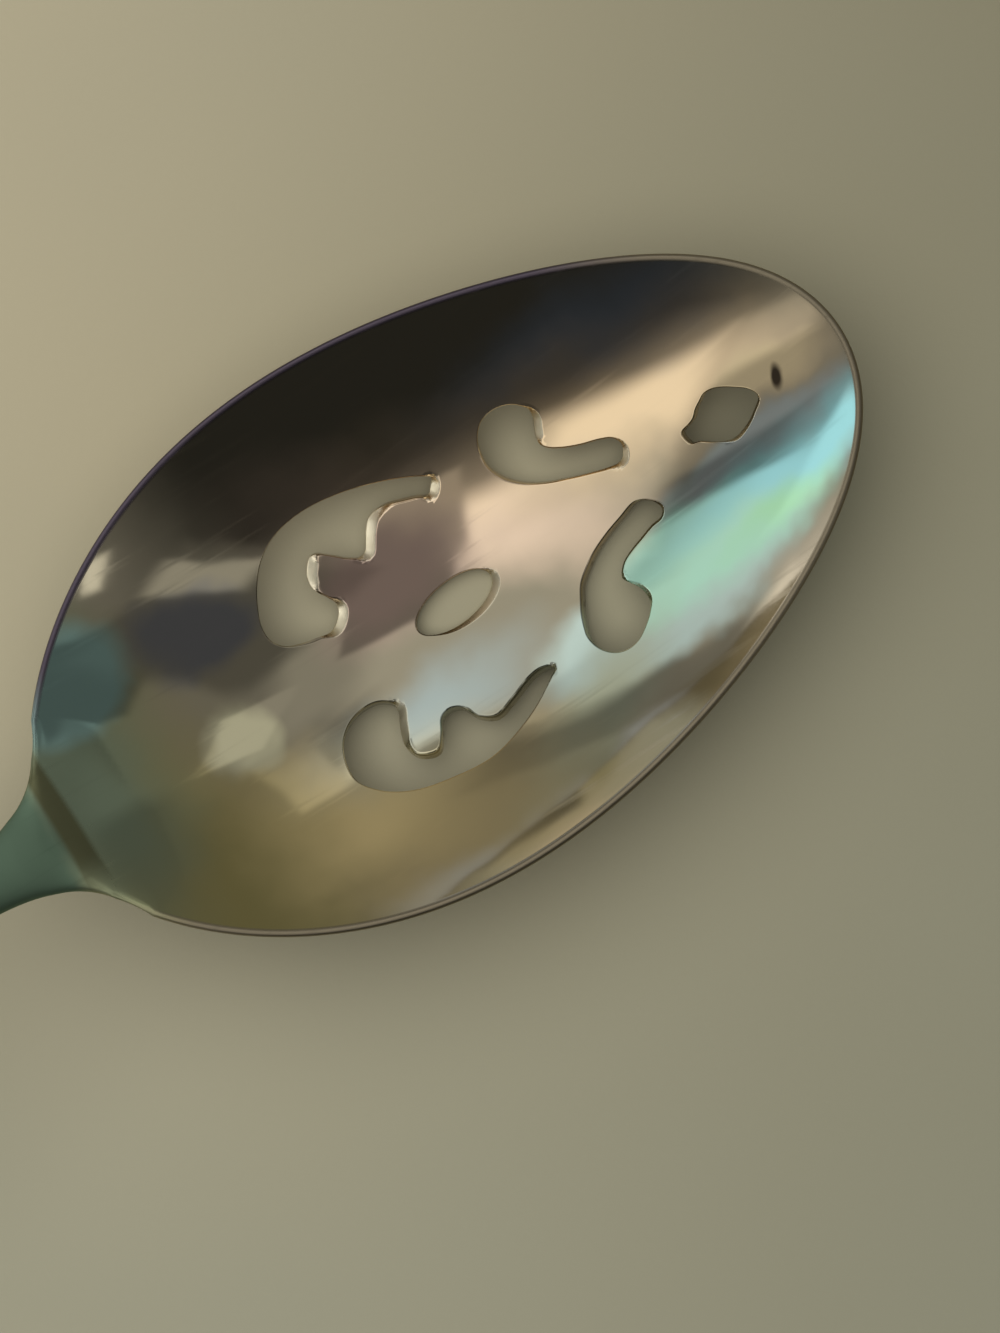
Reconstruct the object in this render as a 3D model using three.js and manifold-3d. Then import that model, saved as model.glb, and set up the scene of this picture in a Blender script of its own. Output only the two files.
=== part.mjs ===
// A pierced serving spoon with a hollow handle, lying on a table as it rests by itself.
// The bowl, its neck and the tang inside the handle are one forging. A turned collar slides over
// the neck and stops against the handle, which is two stamped shells over a core of cement.
// Millimetres. +X runs towards the tip of the bowl, +Y across it and +Z up. The origin lies on
// the table, under the middle of the spoon's length.
import * as THREE from 'three';
import Module from 'manifold-3d';
import { mergeVertices } from 'three/addons/utils/BufferGeometryUtils.js';

const wasm = await Module();
wasm.setup();

// Lengths that make up the whole spoon
const bowlLength = 77.3; // tip to heel, where the hollow ends
const neckLength = 37; // heel to collar
const collarLength = 5.5;
const handleLength = 94.2;

// Bowl
const bowlWidth = 46.4;
const bowlDepth = 10.3; // rim to the floor of the hollow
const bowlWall = 1.2;
const lipWall = 0.7;
const lipTaper = 0.35; // reach at which the wall starts to thin towards the lip
const bowlCentre = 40; // tip to the lowest point
const floorPower = 2.1; // 2 is a parabola, more gives a flatter floor and steeper sides
const heelFullness = 0.141; // how far the widest place moves towards the heel
const sideFullness = 0.072;
const noseFullness = 0.119;
const rimRise = 3.8; // how much higher the rim is at the heel than at the tip
const rimSag = 0.8; // how far the rim dips between them
const lipRound = 0.2; // how far the middle of the lip stands above its two edges

// Neck and tang
const neckWidth = 4.4;
const neckTop = 1.1; // above the centre line
const neckUnder = 2.4; // below the centre line
const heelFlare = 2.7; // added on each side where the neck meets the heel
const flareLength = 3.4; // distance over which the flare falls to a third
const flareInside = 2; // how far the flare runs on inside the heel
const tangLength = 58;
const tangEndWidth = 2.6;
const tangEndHeight = 2;

// Collar and handle
const collarProud = 0.9; // how far the collar's beads stand out from the handle's mouth
const collarGroove = 0.7; // depth of the groove between the beads
const mouthWidth = 9.4;
const mouthHeight = 8;
const waistWidth = 8.6;
const waistHeight = 7.4;
const waistPlace = 16; // distance behind the mouth
const broadWidth = 17.6;
const broadHeight = 9.2;
const endRound = 11; // length of the rounded butt
const shellWall = 0.6;
const seamGap = 0.1; // between the two shells, where the solder runs
const fitGap = 0.3; // clearance of every piece that sits in or against another
const coreRecess = 1.2; // how far the cement stays behind the mouth

// How the spoon lies
const archHeight = 23.6; // centre line at its highest
const archPlace = 18; // distance behind the mouth
const endSlope = 0.16; // fall of the centre line at the butt
const wornFlat = 0.15; // ground off under the bowl and under the butt

// Piercings, from the bowl's centre: x towards the tip, y to the side. Each outline is smooth
// through its points. They were sawn by hand, so the two sides aren't quite mirror images.
const scrolls = {
  left: [
    [4.3, 9.6], [3.7, 8.9], [3.2, 8.5], [2.4, 8.9], [1.3, 9.3], [0.1, 9.7], [-1, 9.8], [-2, 9.6],
    [-2.8, 8.9], [-3.4, 8.1], [-3.9, 7.5], [-4.5, 7.4], [-5.4, 7.9], [-6.4, 8.8], [-7.3, 9.5],
    [-7.9, 9.5], [-8.5, 9], [-9, 8.3], [-9.2, 7.2], [-8.7, 6.2], [-8.3, 5.3], [-8.5, 4.6],
    [-9.3, 3.8], [-10.1, 3.5], [-11.2, 3.7], [-12.6, 4], [-13.8, 4.5], [-14.5, 5.5],
    [-14.5, 6.7], [-13.9, 8.2], [-12.9, 9.8], [-11.5, 11.3], [-9.9, 12.3], [-7.8, 12.9],
    [-5.4, 13], [-2.7, 12.6], [-0.2, 11.9], [2.1, 11], [3.8, 10.1],
  ],
  right: [
    [4.4, -9.4], [2.5, -10.9], [-0.2, -12.2], [-3.8, -13.1], [-7.8, -12.7], [-10.8, -11.9],
    [-13.2, -10.4], [-14.6, -8.4], [-14.2, -5.5], [-12.8, -4], [-10.9, -3.5], [-9.6, -3.8],
    [-8.7, -4.7], [-9.3, -6.4], [-9.7, -7.9], [-9.1, -9.4], [-7.5, -10], [-6.6, -9],
    [-5.9, -7.8], [-5.1, -7.5], [-4.1, -7.9], [-3.3, -9.3], [-1.9, -10.2], [0.1, -9.7],
    [2.1, -9], [3.4, -8.9],
  ],
};
const commas = {
  left: [
    [9.6, 10.2], [10.6, 11], [11.8, 11.2], [12.9, 11], [13.8, 10.5], [14.4, 9.7], [14.3, 8.9],
    [13.8, 8], [13.5, 7], [13.9, 6.3], [14.9, 5.6], [16.4, 4.9], [18.1, 4.3], [19, 3.8],
    [19.3, 3.1], [18.9, 2.3], [18.3, 1.9], [17.1, 2.1], [15.3, 2.7], [13.5, 3.4], [11.9, 4.1],
    [10.5, 5], [9.3, 6.3], [8.8, 7.6], [9, 9.1],
  ],
  right: [
    [17.5, -1.6], [18.3, -1.9], [19, -2.6], [19.2, -3.4], [18.8, -3.9], [17.8, -4], [16.4, -4.4],
    [15.1, -4.8], [14.2, -5.2], [13.6, -5.7], [13.2, -6.3], [13.4, -6.8], [13.9, -7.5],
    [14.2, -8.4], [14.2, -9.4], [13.8, -10.2], [12.9, -11], [11.7, -11.7], [10.5, -11.8],
    [9.5, -11.4], [8.6, -10.4], [8.2, -9], [8.6, -7.3], [9.3, -5.9], [10, -4.8], [11, -4],
    [12.3, -3.2], [14, -2.5], [15.8, -2],
  ],
};
const keyhole = [
  [24.1, 0.8], [25, 1], [25.6, 1.2], [26.2, 1.7], [26.8, 2], [27.5, 2.3], [28.3, 2.2],
  [29.1, 1.8], [29.9, 1.2], [30.7, 0.5], [31.1, -0.2], [31.1, -0.6], [30.5, -1], [29.7, -1.5],
  [28.7, -1.9], [27.7, -2.1], [27, -2], [25.8, -1.3], [24.9, -0.6], [24.3, -0.4], [24.1, 0.1],
];
const ovalLength = 7.7;
const ovalWidth = 3.6;
const ovalTurn = 6; // degrees off the spoon's length

// Fineness of the faceted surfaces
const bowlSectors = 60;
const bowlRings = 13;
const ringEase = 0.8; // less draws the rings of the bowl towards the rim
const pierceSteps = 2; // faces for each point of an outline
const ovalSides = 24;
const barSides = 20;
const flareSteps = 16;
const neckSteps = 8;
const tangSteps = 10;
const beadSteps = 12; // over the two beads of the collar
const handleSteps = 14;
const roundSteps = 9; // over the rounded butt
const seamSteps = 24;

// Accuracy of what is worked out by trial, and how far cutting shapes reach past what they cut
const weld = 1e-4; // points closer than this are one
const slopeStep = 0.01;
const nearRim = 0.999; // reach at which the rim's normal is taken
const halvings = 40;
const rounds = 8;
const past = 1;
const far = 40;

const length = bowlLength + neckLength + collarLength + handleLength;
const tipX = length / 2;
const centreX = tipX - bowlCentre;
const heelX = tipX - bowlLength;
const collarX = heelX - neckLength;
const mouthX = collarX - collarLength;
const buttX = -length / 2;
const roundX = buttX + endRound;

// The cubic from value a with slope ma to value b with slope mb, for t from 0 to 1 over a span.
function cubic(t, span, a, ma, b, mb) {
  const t2 = t * t;
  const t3 = t2 * t;
  const start = a * (2 * t3 - 3 * t2 + 1) + ma * span * (t3 - 2 * t2 + t);
  return start + b * (3 * t2 - 2 * t3) + mb * span * (t3 - t2);
}

// Bowl outline: an egg, with angle 0 at the tip and pi at the heel.
function eggSide(angle) {
  const c = Math.cos(angle);
  const full = 1 - heelFullness * c - sideFullness * c * c + noseFullness * c * c * c;
  return Math.sin(angle) * full;
}

function widestSide() {
  let most = 0;
  for (let i = 0; i <= 180; i += 1) {
    most = Math.max(most, eggSide(THREE.MathUtils.degToRad(i)));
  }
  return most;
}

const sideScale = bowlWidth / 2 / widestSide();

function rimPlan(angle) {
  const x = tipX - (bowlLength / 2) * (1 - Math.cos(angle));
  return [x, sideScale * eggSide(angle)];
}

// How far a point of the plan lies from the centre to the rim: 0 at the centre, 1 on the rim.
function reachOf(x, y) {
  const dx = x - centreX;
  const dy = Math.abs(y);
  let low = 0;
  let high = Math.PI;
  for (let i = 0; i < halvings; i += 1) {
    const middle = (low + high) / 2;
    const [rx, ry] = rimPlan(middle);
    if ((rx - centreX) * dy - ry * dx > 0) {
      low = middle;
    } else {
      high = middle;
    }
  }
  const [rx, ry] = rimPlan(low);
  return Math.hypot(dx, dy) / Math.hypot(rx - centreX, ry);
}

// Height of the rim above the level of its tip.
function rimShape(x) {
  const t = (tipX - x) / bowlLength;
  return rimRise * t - 4 * rimSag * t * (1 - t);
}

function wallAt(reach) {
  const share = THREE.MathUtils.smoothstep(reach, lipTaper, 1);
  return THREE.MathUtils.lerp(bowlWall, lipWall, share);
}

function floorDrop(reach) {
  return (bowlDepth + bowlWall) * (1 - reach ** floorPower);
}

// Level of the rim's tip that lets the underside sink wornFlat below the table.
function tipLevel() {
  let lowest = Infinity;
  for (let x = heelX; x <= tipX; x += 0.5) {
    lowest = Math.min(lowest, rimShape(x) - floorDrop(reachOf(x, 0)));
  }
  return -wornFlat - lowest;
}

const tipHeight = tipLevel();
const heelHeight = tipHeight + rimRise;
const heelSlope = -(rimRise + 4 * rimSag) / bowlLength;

// Outer face of the bowl, and the face one wall inside it.
function outerHeight(x, y) {
  return tipHeight + rimShape(x) - floorDrop(reachOf(x, y));
}

function outerNormal(x, y) {
  const riseX = outerHeight(x + slopeStep, y) - outerHeight(x - slopeStep, y);
  const riseY = outerHeight(x, y + slopeStep) - outerHeight(x, y - slopeStep);
  return new THREE.Vector3(-riseX, -riseY, 2 * slopeStep).normalize();
}

function bowlPoint(reach, angle, inset) {
  const [rx, ry] = rimPlan(angle);
  const x = centreX + reach * (rx - centreX);
  const y = reach * ry;
  const z = tipHeight + rimShape(x) - floorDrop(reach);
  const normal = outerNormal(centreX + nearRim * (x - centreX), nearRim * y);
  return new THREE.Vector3(x, y, z).addScaledVector(normal, inset);
}

function ringAngles(sectors) {
  return Array.from({ length: sectors }, (_, i) => (2 * Math.PI * i) / sectors);
}

function signedBowlPoint(reach, angle, inset) {
  const folded = angle <= Math.PI ? angle : 2 * Math.PI - angle;
  const point = bowlPoint(reach, folded, inset);
  if (angle > Math.PI) {
    point.y = -point.y;
  }
  return point;
}

function bowlRing(reach, inset) {
  return ringAngles(bowlSectors).map((angle) => signedBowlPoint(reach, angle, inset));
}

// Reach of the rings, closer together towards the rim, where the wall is steep.
const ringReaches = Array.from({ length: bowlRings }, (_, i) => {
  const share = (i + 1) / bowlRings;
  return Math.sin((share * Math.PI) / 2) ** ringEase;
});

// Closed geometry from rings of equal count, in order, with a point at each end.
function skin(rings, firstPole, lastPole) {
  const count = rings[0].length;
  const points = [firstPole, ...rings.flat(), lastPole];
  const last = points.length - 1;
  const faces = [];
  for (let i = 0; i < count; i += 1) {
    const next = (i + 1) % count;
    faces.push(0, 1 + next, 1 + i);
    faces.push(last, last - count + i, last - count + next);
    for (let r = 0; r < rings.length - 1; r += 1) {
      const here = 1 + r * count;
      const there = here + count;
      faces.push(here + i, here + next, there + i);
      faces.push(here + next, there + next, there + i);
    }
  }
  const geometry = new THREE.BufferGeometry();
  geometry.setAttribute('position', new THREE.Float32BufferAttribute(
    points.flatMap((p) => [p.x, p.y, p.z]), 3));
  geometry.setIndex(faces);
  return geometry;
}

function middleOf(ring) {
  const sum = new THREE.Vector3();
  ring.forEach((point) => sum.add(point));
  return sum.divideScalar(ring.length);
}

function loft(rings) {
  return skin(rings, middleOf(rings[0]), middleOf(rings[rings.length - 1]));
}

// A geometry as a solid whose faces point out, whichever way its rings ran.
function solid(source) {
  const bare = source.clone();
  bare.deleteAttribute('normal');
  bare.deleteAttribute('uv');
  const merged = mergeVertices(bare, weld);
  const vertProperties = new Float32Array(merged.attributes.position.array);
  const triVerts = new Uint32Array(merged.index.array);
  const made = new wasm.Manifold(new wasm.Mesh({ numProp: 3, vertProperties, triVerts }));
  if (made.volume() > 0) {
    return made;
  }
  for (let i = 0; i < triVerts.length; i += 3) {
    [triVerts[i + 1], triVerts[i + 2]] = [triVerts[i + 2], triVerts[i + 1]];
  }
  return new wasm.Manifold(new wasm.Mesh({ numProp: 3, vertProperties, triVerts }));
}

function part(name, body, material) {
  const { vertProperties, triVerts, numProp } = body.getMesh();
  const geometry = new THREE.BufferGeometry();
  const attribute = new THREE.InterleavedBuffer(new Float32Array(vertProperties), numProp);
  geometry.setAttribute('position', new THREE.InterleavedBufferAttribute(attribute, 3, 0));
  geometry.setIndex(new THREE.BufferAttribute(new Uint32Array(triVerts), 1));
  const flat = geometry.toNonIndexed();
  flat.computeVertexNormals();
  const mesh = new THREE.Mesh(flat, material);
  mesh.name = name;
  return mesh;
}

// The bowl's wall, with a rounded lip.
function bowlShell() {
  const outer = ringReaches.map((reach) => bowlRing(reach, 0));
  const inner = ringReaches.map((reach) => bowlRing(reach, wallAt(reach))).reverse();
  const lip = bowlRing(1, lipWall / 2);
  lip.forEach((point) => {
    point.z += lipRound;
  });
  const floor = signedBowlPoint(0, 0, 0);
  const inside = signedBowlPoint(0, 0, bowlWall);
  return solid(skin([...outer, lip, ...inner], floor, inside));
}

// Everything above the inner face, which cuts the neck off where the hollow begins.
function hollowSpace() {
  const rings = ringReaches.map((reach) => bowlRing(reach, wallAt(reach)));
  const rim = rings[rings.length - 1];
  const above = rim.map((point) => new THREE.Vector3(point.x, point.y, point.z + far));
  return solid(skin([...rings, above], signedBowlPoint(0, 0, bowlWall), middleOf(above)));
}

// Centre line of the neck and the handle. The butt's own level is found below.
function centreLine(x, buttLevel) {
  const archX = mouthX - archPlace;
  if (x >= heelX) {
    return tipHeight + rimShape(x);
  }
  if (x >= archX) {
    const span = heelX - archX;
    return cubic((x - archX) / span, span, archHeight, 0, heelHeight, heelSlope);
  }
  const span = archX - buttX;
  return cubic((x - buttX) / span, span, buttLevel, endSlope, archHeight, 0);
}

// Half width or half height of the handle, inset by a wall or a clearance.
function handleHalf(x, mouth, waist, broad, inset) {
  const waistX = mouthX - waistPlace;
  let full = broad;
  if (x >= waistX) {
    full = cubic((x - waistX) / waistPlace, waistPlace, waist, 0, mouth, 0);
  } else if (x > roundX) {
    const span = waistX - roundX;
    full = cubic((x - roundX) / span, span, broad, 0, waist, 0);
  }
  const half = full / 2 - inset;
  if (x >= roundX) {
    return half;
  }
  const share = Math.min(1, (roundX - x) / (endRound - inset));
  return half * Math.sqrt(1 - share * share);
}

function handleHalfHeight(x, inset) {
  return handleHalf(x, mouthHeight, waistHeight, broadHeight, inset);
}

function handleHalfWidth(x, inset) {
  return handleHalf(x, mouthWidth, waistWidth, broadWidth, inset);
}

// The butt comes down until its underside sinks wornFlat below the table.
function settledButt() {
  let level = broadHeight / 2;
  for (let round = 0; round < rounds; round += 1) {
    let lowest = Infinity;
    for (let x = buttX; x < mouthX; x += 0.25) {
      lowest = Math.min(lowest, centreLine(x, level) - handleHalfHeight(x, 0));
    }
    level -= lowest + wornFlat;
  }
  return level;
}

const buttHeight = settledButt();

// A closed section of a bar, with its own height above and below the centre line.
function barSection(x, halfWidth, above, below) {
  const middle = centreLine(x, buttHeight);
  return ringAngles(barSides).map((angle) => {
    const up = Math.sin(angle);
    const z = middle + (up > 0 ? above : below) * up;
    return new THREE.Vector3(x, halfWidth * Math.cos(angle), z);
  });
}

function steps(from, to, count) {
  return Array.from({ length: count + 1 }, (_, i) => from + ((to - from) * i) / count);
}

// The neck runs from inside the bowl to the tang's end. grow widens it for a clearance.
function neckSection(x, grow) {
  if (x >= collarX) {
    const flare = heelFlare * Math.exp(Math.min(x - heelX, flareInside) / flareLength);
    return barSection(x, neckWidth / 2 + flare + grow, neckTop + grow, neckUnder + grow);
  }
  const share = (collarX - x) / tangLength;
  const halfWidth = THREE.MathUtils.lerp(neckWidth, tangEndWidth, share) / 2;
  const above = THREE.MathUtils.lerp(neckTop, tangEndHeight / 2, share);
  const below = THREE.MathUtils.lerp(neckUnder, tangEndHeight / 2, share);
  return barSection(x, halfWidth + grow, above + grow, below + grow);
}

function neckAndTang() {
  const flareEnd = heelX - 3 * flareLength;
  const places = [
    ...steps(heelX + 2 * flareInside, flareEnd, flareSteps),
    ...steps(flareEnd, collarX, neckSteps).slice(1),
    ...steps(collarX, collarX - tangLength, tangSteps).slice(1),
  ];
  return solid(loft(places.map((x) => neckSection(x, 0))));
}

// An outline as a smooth closed curve through its points.
function smoothOutline(points) {
  const corners = points.map(([x, y]) => new THREE.Vector3(centreX + x, y, 0));
  const curve = new THREE.CatmullRomCurve3(corners, true, 'centripetal');
  const count = points.length * pierceSteps;
  return steps(0, 1, count).slice(0, count).map((t) => {
    const point = curve.getPoint(t);
    return new THREE.Vector2(point.x, point.y);
  });
}

function ovalOutline() {
  const turn = THREE.MathUtils.degToRad(ovalTurn);
  const centre = new THREE.Vector2();
  return ringAngles(ovalSides).map((angle) => {
    const x = (ovalLength / 2) * Math.cos(angle);
    const y = (ovalWidth / 2) * Math.sin(angle);
    const point = new THREE.Vector2(x, y).rotateAround(centre, turn);
    return new THREE.Vector2(centreX + point.x, point.y);
  });
}

// A cutter whose sides stand square to the wall, through the outline on its inner face.
function piercing(outline) {
  const placed = outline.map(({ x, y }) => {
    const first = outerNormal(x, y);
    const wall = wallAt(reachOf(x, y));
    const under = [x - first.x * wall, y - first.y * wall];
    const normal = outerNormal(...under);
    return { point: new THREE.Vector3(...under, outerHeight(...under)), normal };
  });
  const level = (height) => placed.map(({ point, normal }) => (
    point.clone().addScaledVector(normal, height)));
  const count = outline.length;
  const points = [...level(-past), ...level(bowlWall + past)];
  const faces = [];
  THREE.ShapeUtils.triangulateShape(outline, []).forEach(([a, b, c]) => {
    faces.push(c, b, a, a + count, b + count, c + count);
  });
  const turn = THREE.ShapeUtils.isClockWise(outline) ? 1 : 0;
  for (let i = 0; i < count; i += 1) {
    const ends = [i, (i + 1) % count];
    const [a, b] = turn ? ends.reverse() : ends;
    faces.push(a, b, b + count, a, b + count, a + count);
  }
  const geometry = new THREE.BufferGeometry();
  geometry.setAttribute('position', new THREE.Float32BufferAttribute(
    points.flatMap((p) => [p.x, p.y, p.z]), 3));
  geometry.setIndex(faces);
  return solid(geometry);
}

function piercings() {
  const sawn = [scrolls.left, scrolls.right, commas.left, commas.right, keyhole];
  return [ovalOutline(), ...sawn.map(smoothOutline)].map(piercing);
}

// What lies below the table.
function tableSpace() {
  const slab = new THREE.BoxGeometry(length + far, bowlWidth + far, far);
  slab.translate(0, 0, -far / 2);
  return solid(slab);
}

function piercedBowl() {
  let body = neckAndTang().subtract(hollowSpace()).add(bowlShell());
  piercings().forEach((cutter) => {
    body = body.subtract(cutter);
  });
  return body.subtract(tableSpace());
}

// Two beads with a groove between them, round a hole that clears the neck.
function collar() {
  const beads = steps(0, 1, beadSteps).map((share) => {
    const wave = Math.abs(Math.sin(share * 2 * Math.PI));
    const proud = collarProud - collarGroove * (1 - Math.sqrt(wave));
    const x = collarX - share * collarLength;
    return barSection(x, mouthWidth / 2 + proud, mouthHeight / 2 + proud,
      mouthHeight / 2 + proud);
  });
  const bore = steps(collarX + past, mouthX - past, tangSteps).map((x) => neckSection(x, fitGap));
  return solid(loft(beads)).subtract(solid(loft(bore)));
}

// Places along the handle, closer together in the rounded butt.
function handlePlaces(front, inset) {
  const round = steps(0, 1, roundSteps).slice(1, -1).map((share) => (
    roundX - (endRound - inset) * Math.sin((share * Math.PI) / 2)));
  return [...steps(front, roundX, handleSteps), ...round];
}

function handleBody(front, inset) {
  const rings = handlePlaces(front, inset).map((x) => {
    const halfHeight = handleHalfHeight(x, inset);
    return barSection(x, handleHalfWidth(x, inset), halfHeight, halfHeight);
  });
  const poleX = buttX + inset;
  const pole = new THREE.Vector3(poleX, 0, centreLine(poleX, buttHeight));
  return solid(skin(rings, middleOf(rings[0]), pole));
}

// The space on one side of the seam, 1 above it and -1 below.
function seamSide(side) {
  const rings = steps(mouthX + past, buttX - past, seamSteps).map((x) => {
    const near = centreLine(x, buttHeight) + (side * seamGap) / 2;
    return [
      new THREE.Vector3(x, -far, near),
      new THREE.Vector3(x, far, near),
      new THREE.Vector3(x, far, near + side * far),
      new THREE.Vector3(x, -far, near + side * far),
    ];
  });
  return solid(loft(rings));
}

function handleShell(side) {
  const front = mouthX - fitGap;
  const wall = handleBody(front, 0).subtract(handleBody(front + past, shellWall));
  return wall.intersect(seamSide(side)).subtract(tableSpace());
}

function handleCore() {
  const front = mouthX - fitGap - coreRecess;
  const tangRoom = steps(collarX, collarX - tangLength - fitGap, tangSteps);
  const room = solid(loft(tangRoom.map((x) => neckSection(x, fitGap))));
  return handleBody(front, shellWall + fitGap).subtract(room);
}

const polished = new THREE.MeshStandardMaterial({ color: 0xcfc8bc, roughness: 0.12, metalness: 1 });
const silver = new THREE.MeshStandardMaterial({ color: 0xd8d4ca, roughness: 0.2, metalness: 1 });
const cement = new THREE.MeshStandardMaterial({ color: 0x8d877a, roughness: 0.95, metalness: 0 });

const spoon = new THREE.Group();
spoon.name = 'pierced_serving_spoon';
spoon.add(part('pierced_bowl', piercedBowl(), polished));
spoon.add(part('handle_collar', collar(), silver));
spoon.add(part('handle_front_shell', handleShell(1), silver));
spoon.add(part('handle_back_shell', handleShell(-1), silver));
spoon.add(part('handle_core', handleCore(), cement));

export default spoon;
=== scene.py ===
# A pierced serving spoon with a hollow handle, lying on a pale table in soft studio light.
# Shapes are worked out in millimetres, in the frame of the solids: +X towards the bowl's tip, +Y
# across and +Z up from the table. Each piece becomes metres as it is finished.
import math

import bpy
import numpy as np
from mathutils import Matrix, Vector
from mathutils.geometry import delaunay_2d_cdt


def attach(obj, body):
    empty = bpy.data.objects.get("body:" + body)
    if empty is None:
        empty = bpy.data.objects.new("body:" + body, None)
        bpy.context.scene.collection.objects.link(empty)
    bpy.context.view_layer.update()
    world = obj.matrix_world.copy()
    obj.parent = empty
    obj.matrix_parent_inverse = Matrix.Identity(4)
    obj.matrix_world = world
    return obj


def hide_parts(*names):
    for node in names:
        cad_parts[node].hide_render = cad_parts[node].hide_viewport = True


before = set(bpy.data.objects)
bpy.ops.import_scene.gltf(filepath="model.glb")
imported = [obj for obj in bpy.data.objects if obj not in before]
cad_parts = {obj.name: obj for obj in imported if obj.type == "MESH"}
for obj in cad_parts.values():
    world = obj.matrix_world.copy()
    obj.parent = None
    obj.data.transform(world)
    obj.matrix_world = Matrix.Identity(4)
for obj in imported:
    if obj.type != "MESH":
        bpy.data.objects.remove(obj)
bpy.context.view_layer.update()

MM = 0.001

# Lengths along the spoon
BOWL_LENGTH = 77.3
NECK_LENGTH = 37
COLLAR_LENGTH = 5.5
HANDLE_LENGTH = 94.2

# Bowl
BOWL_WIDTH = 46.4
BOWL_DEPTH = 10.3
BOWL_WALL = 1.2
LIP_WALL = 0.7
LIP_TAPER = 0.35  # reach at which the wall starts to thin towards the lip
BOWL_CENTRE = 40  # tip to the lowest point
FLOOR_POWER = 2.1
HEEL_FULLNESS = 0.141
SIDE_FULLNESS = 0.072
NOSE_FULLNESS = 0.119
RIM_RISE = 3.8  # how much higher the rim is at the heel than at the tip
RIM_SAG = 0.8
LIP_ROLL = 0.32  # radius worn onto the two edges of the lip
SAWN_EDGE = 0.07  # width of the edge a file leaves round an opening, in the hollow
WORN_EDGE = 0.8  # the same width where the polishing strokes have worn it down
WORN_SLOPE = 35  # its slope to the table there, in degrees
WORN_DEPTH = 0.72  # how deep it may be worn, as a share of the wall
WORN_CROWN = 1.1  # how it bends across: 1 is a flat facet
SAWN_BACK = 0.2  # depth of the edge on the underside, as a share of its depth in the hollow
WEAR_AND_LIGHT_TURN = 140  # the side from which the edges are worn and lit, in degrees from +X: they are worn widest there and painted bright as a highlight
WEAR_AND_LIGHT_SPREAD = 0.2  # cosine of the angle at which the wear and the painted highlight start
SPARED_LEAN = 25  # degrees by which the wall leans over an edge that is spared all wear

# Neck and tang
NECK_WIDTH = 4.4
NECK_TOP = 1.1
NECK_UNDER = 2.4
HEEL_FLARE = 2.7
FLARE_LENGTH = 3.4
FLARE_INSIDE = 2
NECK_INSIDE = 2.6 * FLARE_INSIDE  # how far the neck's bar reaches into the bowl
TANG_LENGTH = 58
TANG_END_WIDTH = 2.6
TANG_END_HEIGHT = 2
HEEL_SOFTENING = 2.6  # distance over which the hammer and the file blend the neck's root
HEEL_PASSES = 40

# Collar and handle
COLLAR_PROUD = 0.9
COLLAR_GROOVE = 0.7
MOUTH_WIDTH = 9.4
MOUTH_HEIGHT = 8
WAIST_WIDTH = 8.6
WAIST_HEIGHT = 7.4
WAIST_PLACE = 16
BROAD_WIDTH = 17.6
BROAD_HEIGHT = 9.2
END_ROUND = 11
SHELL_WALL = 0.6
SEAM_GAP = 0.1
FIT_GAP = 0.3
ARCH_HEIGHT = 23.6
ARCH_PLACE = 18
END_SLOPE = 0.16
WORN_FLAT = 0.15

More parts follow.
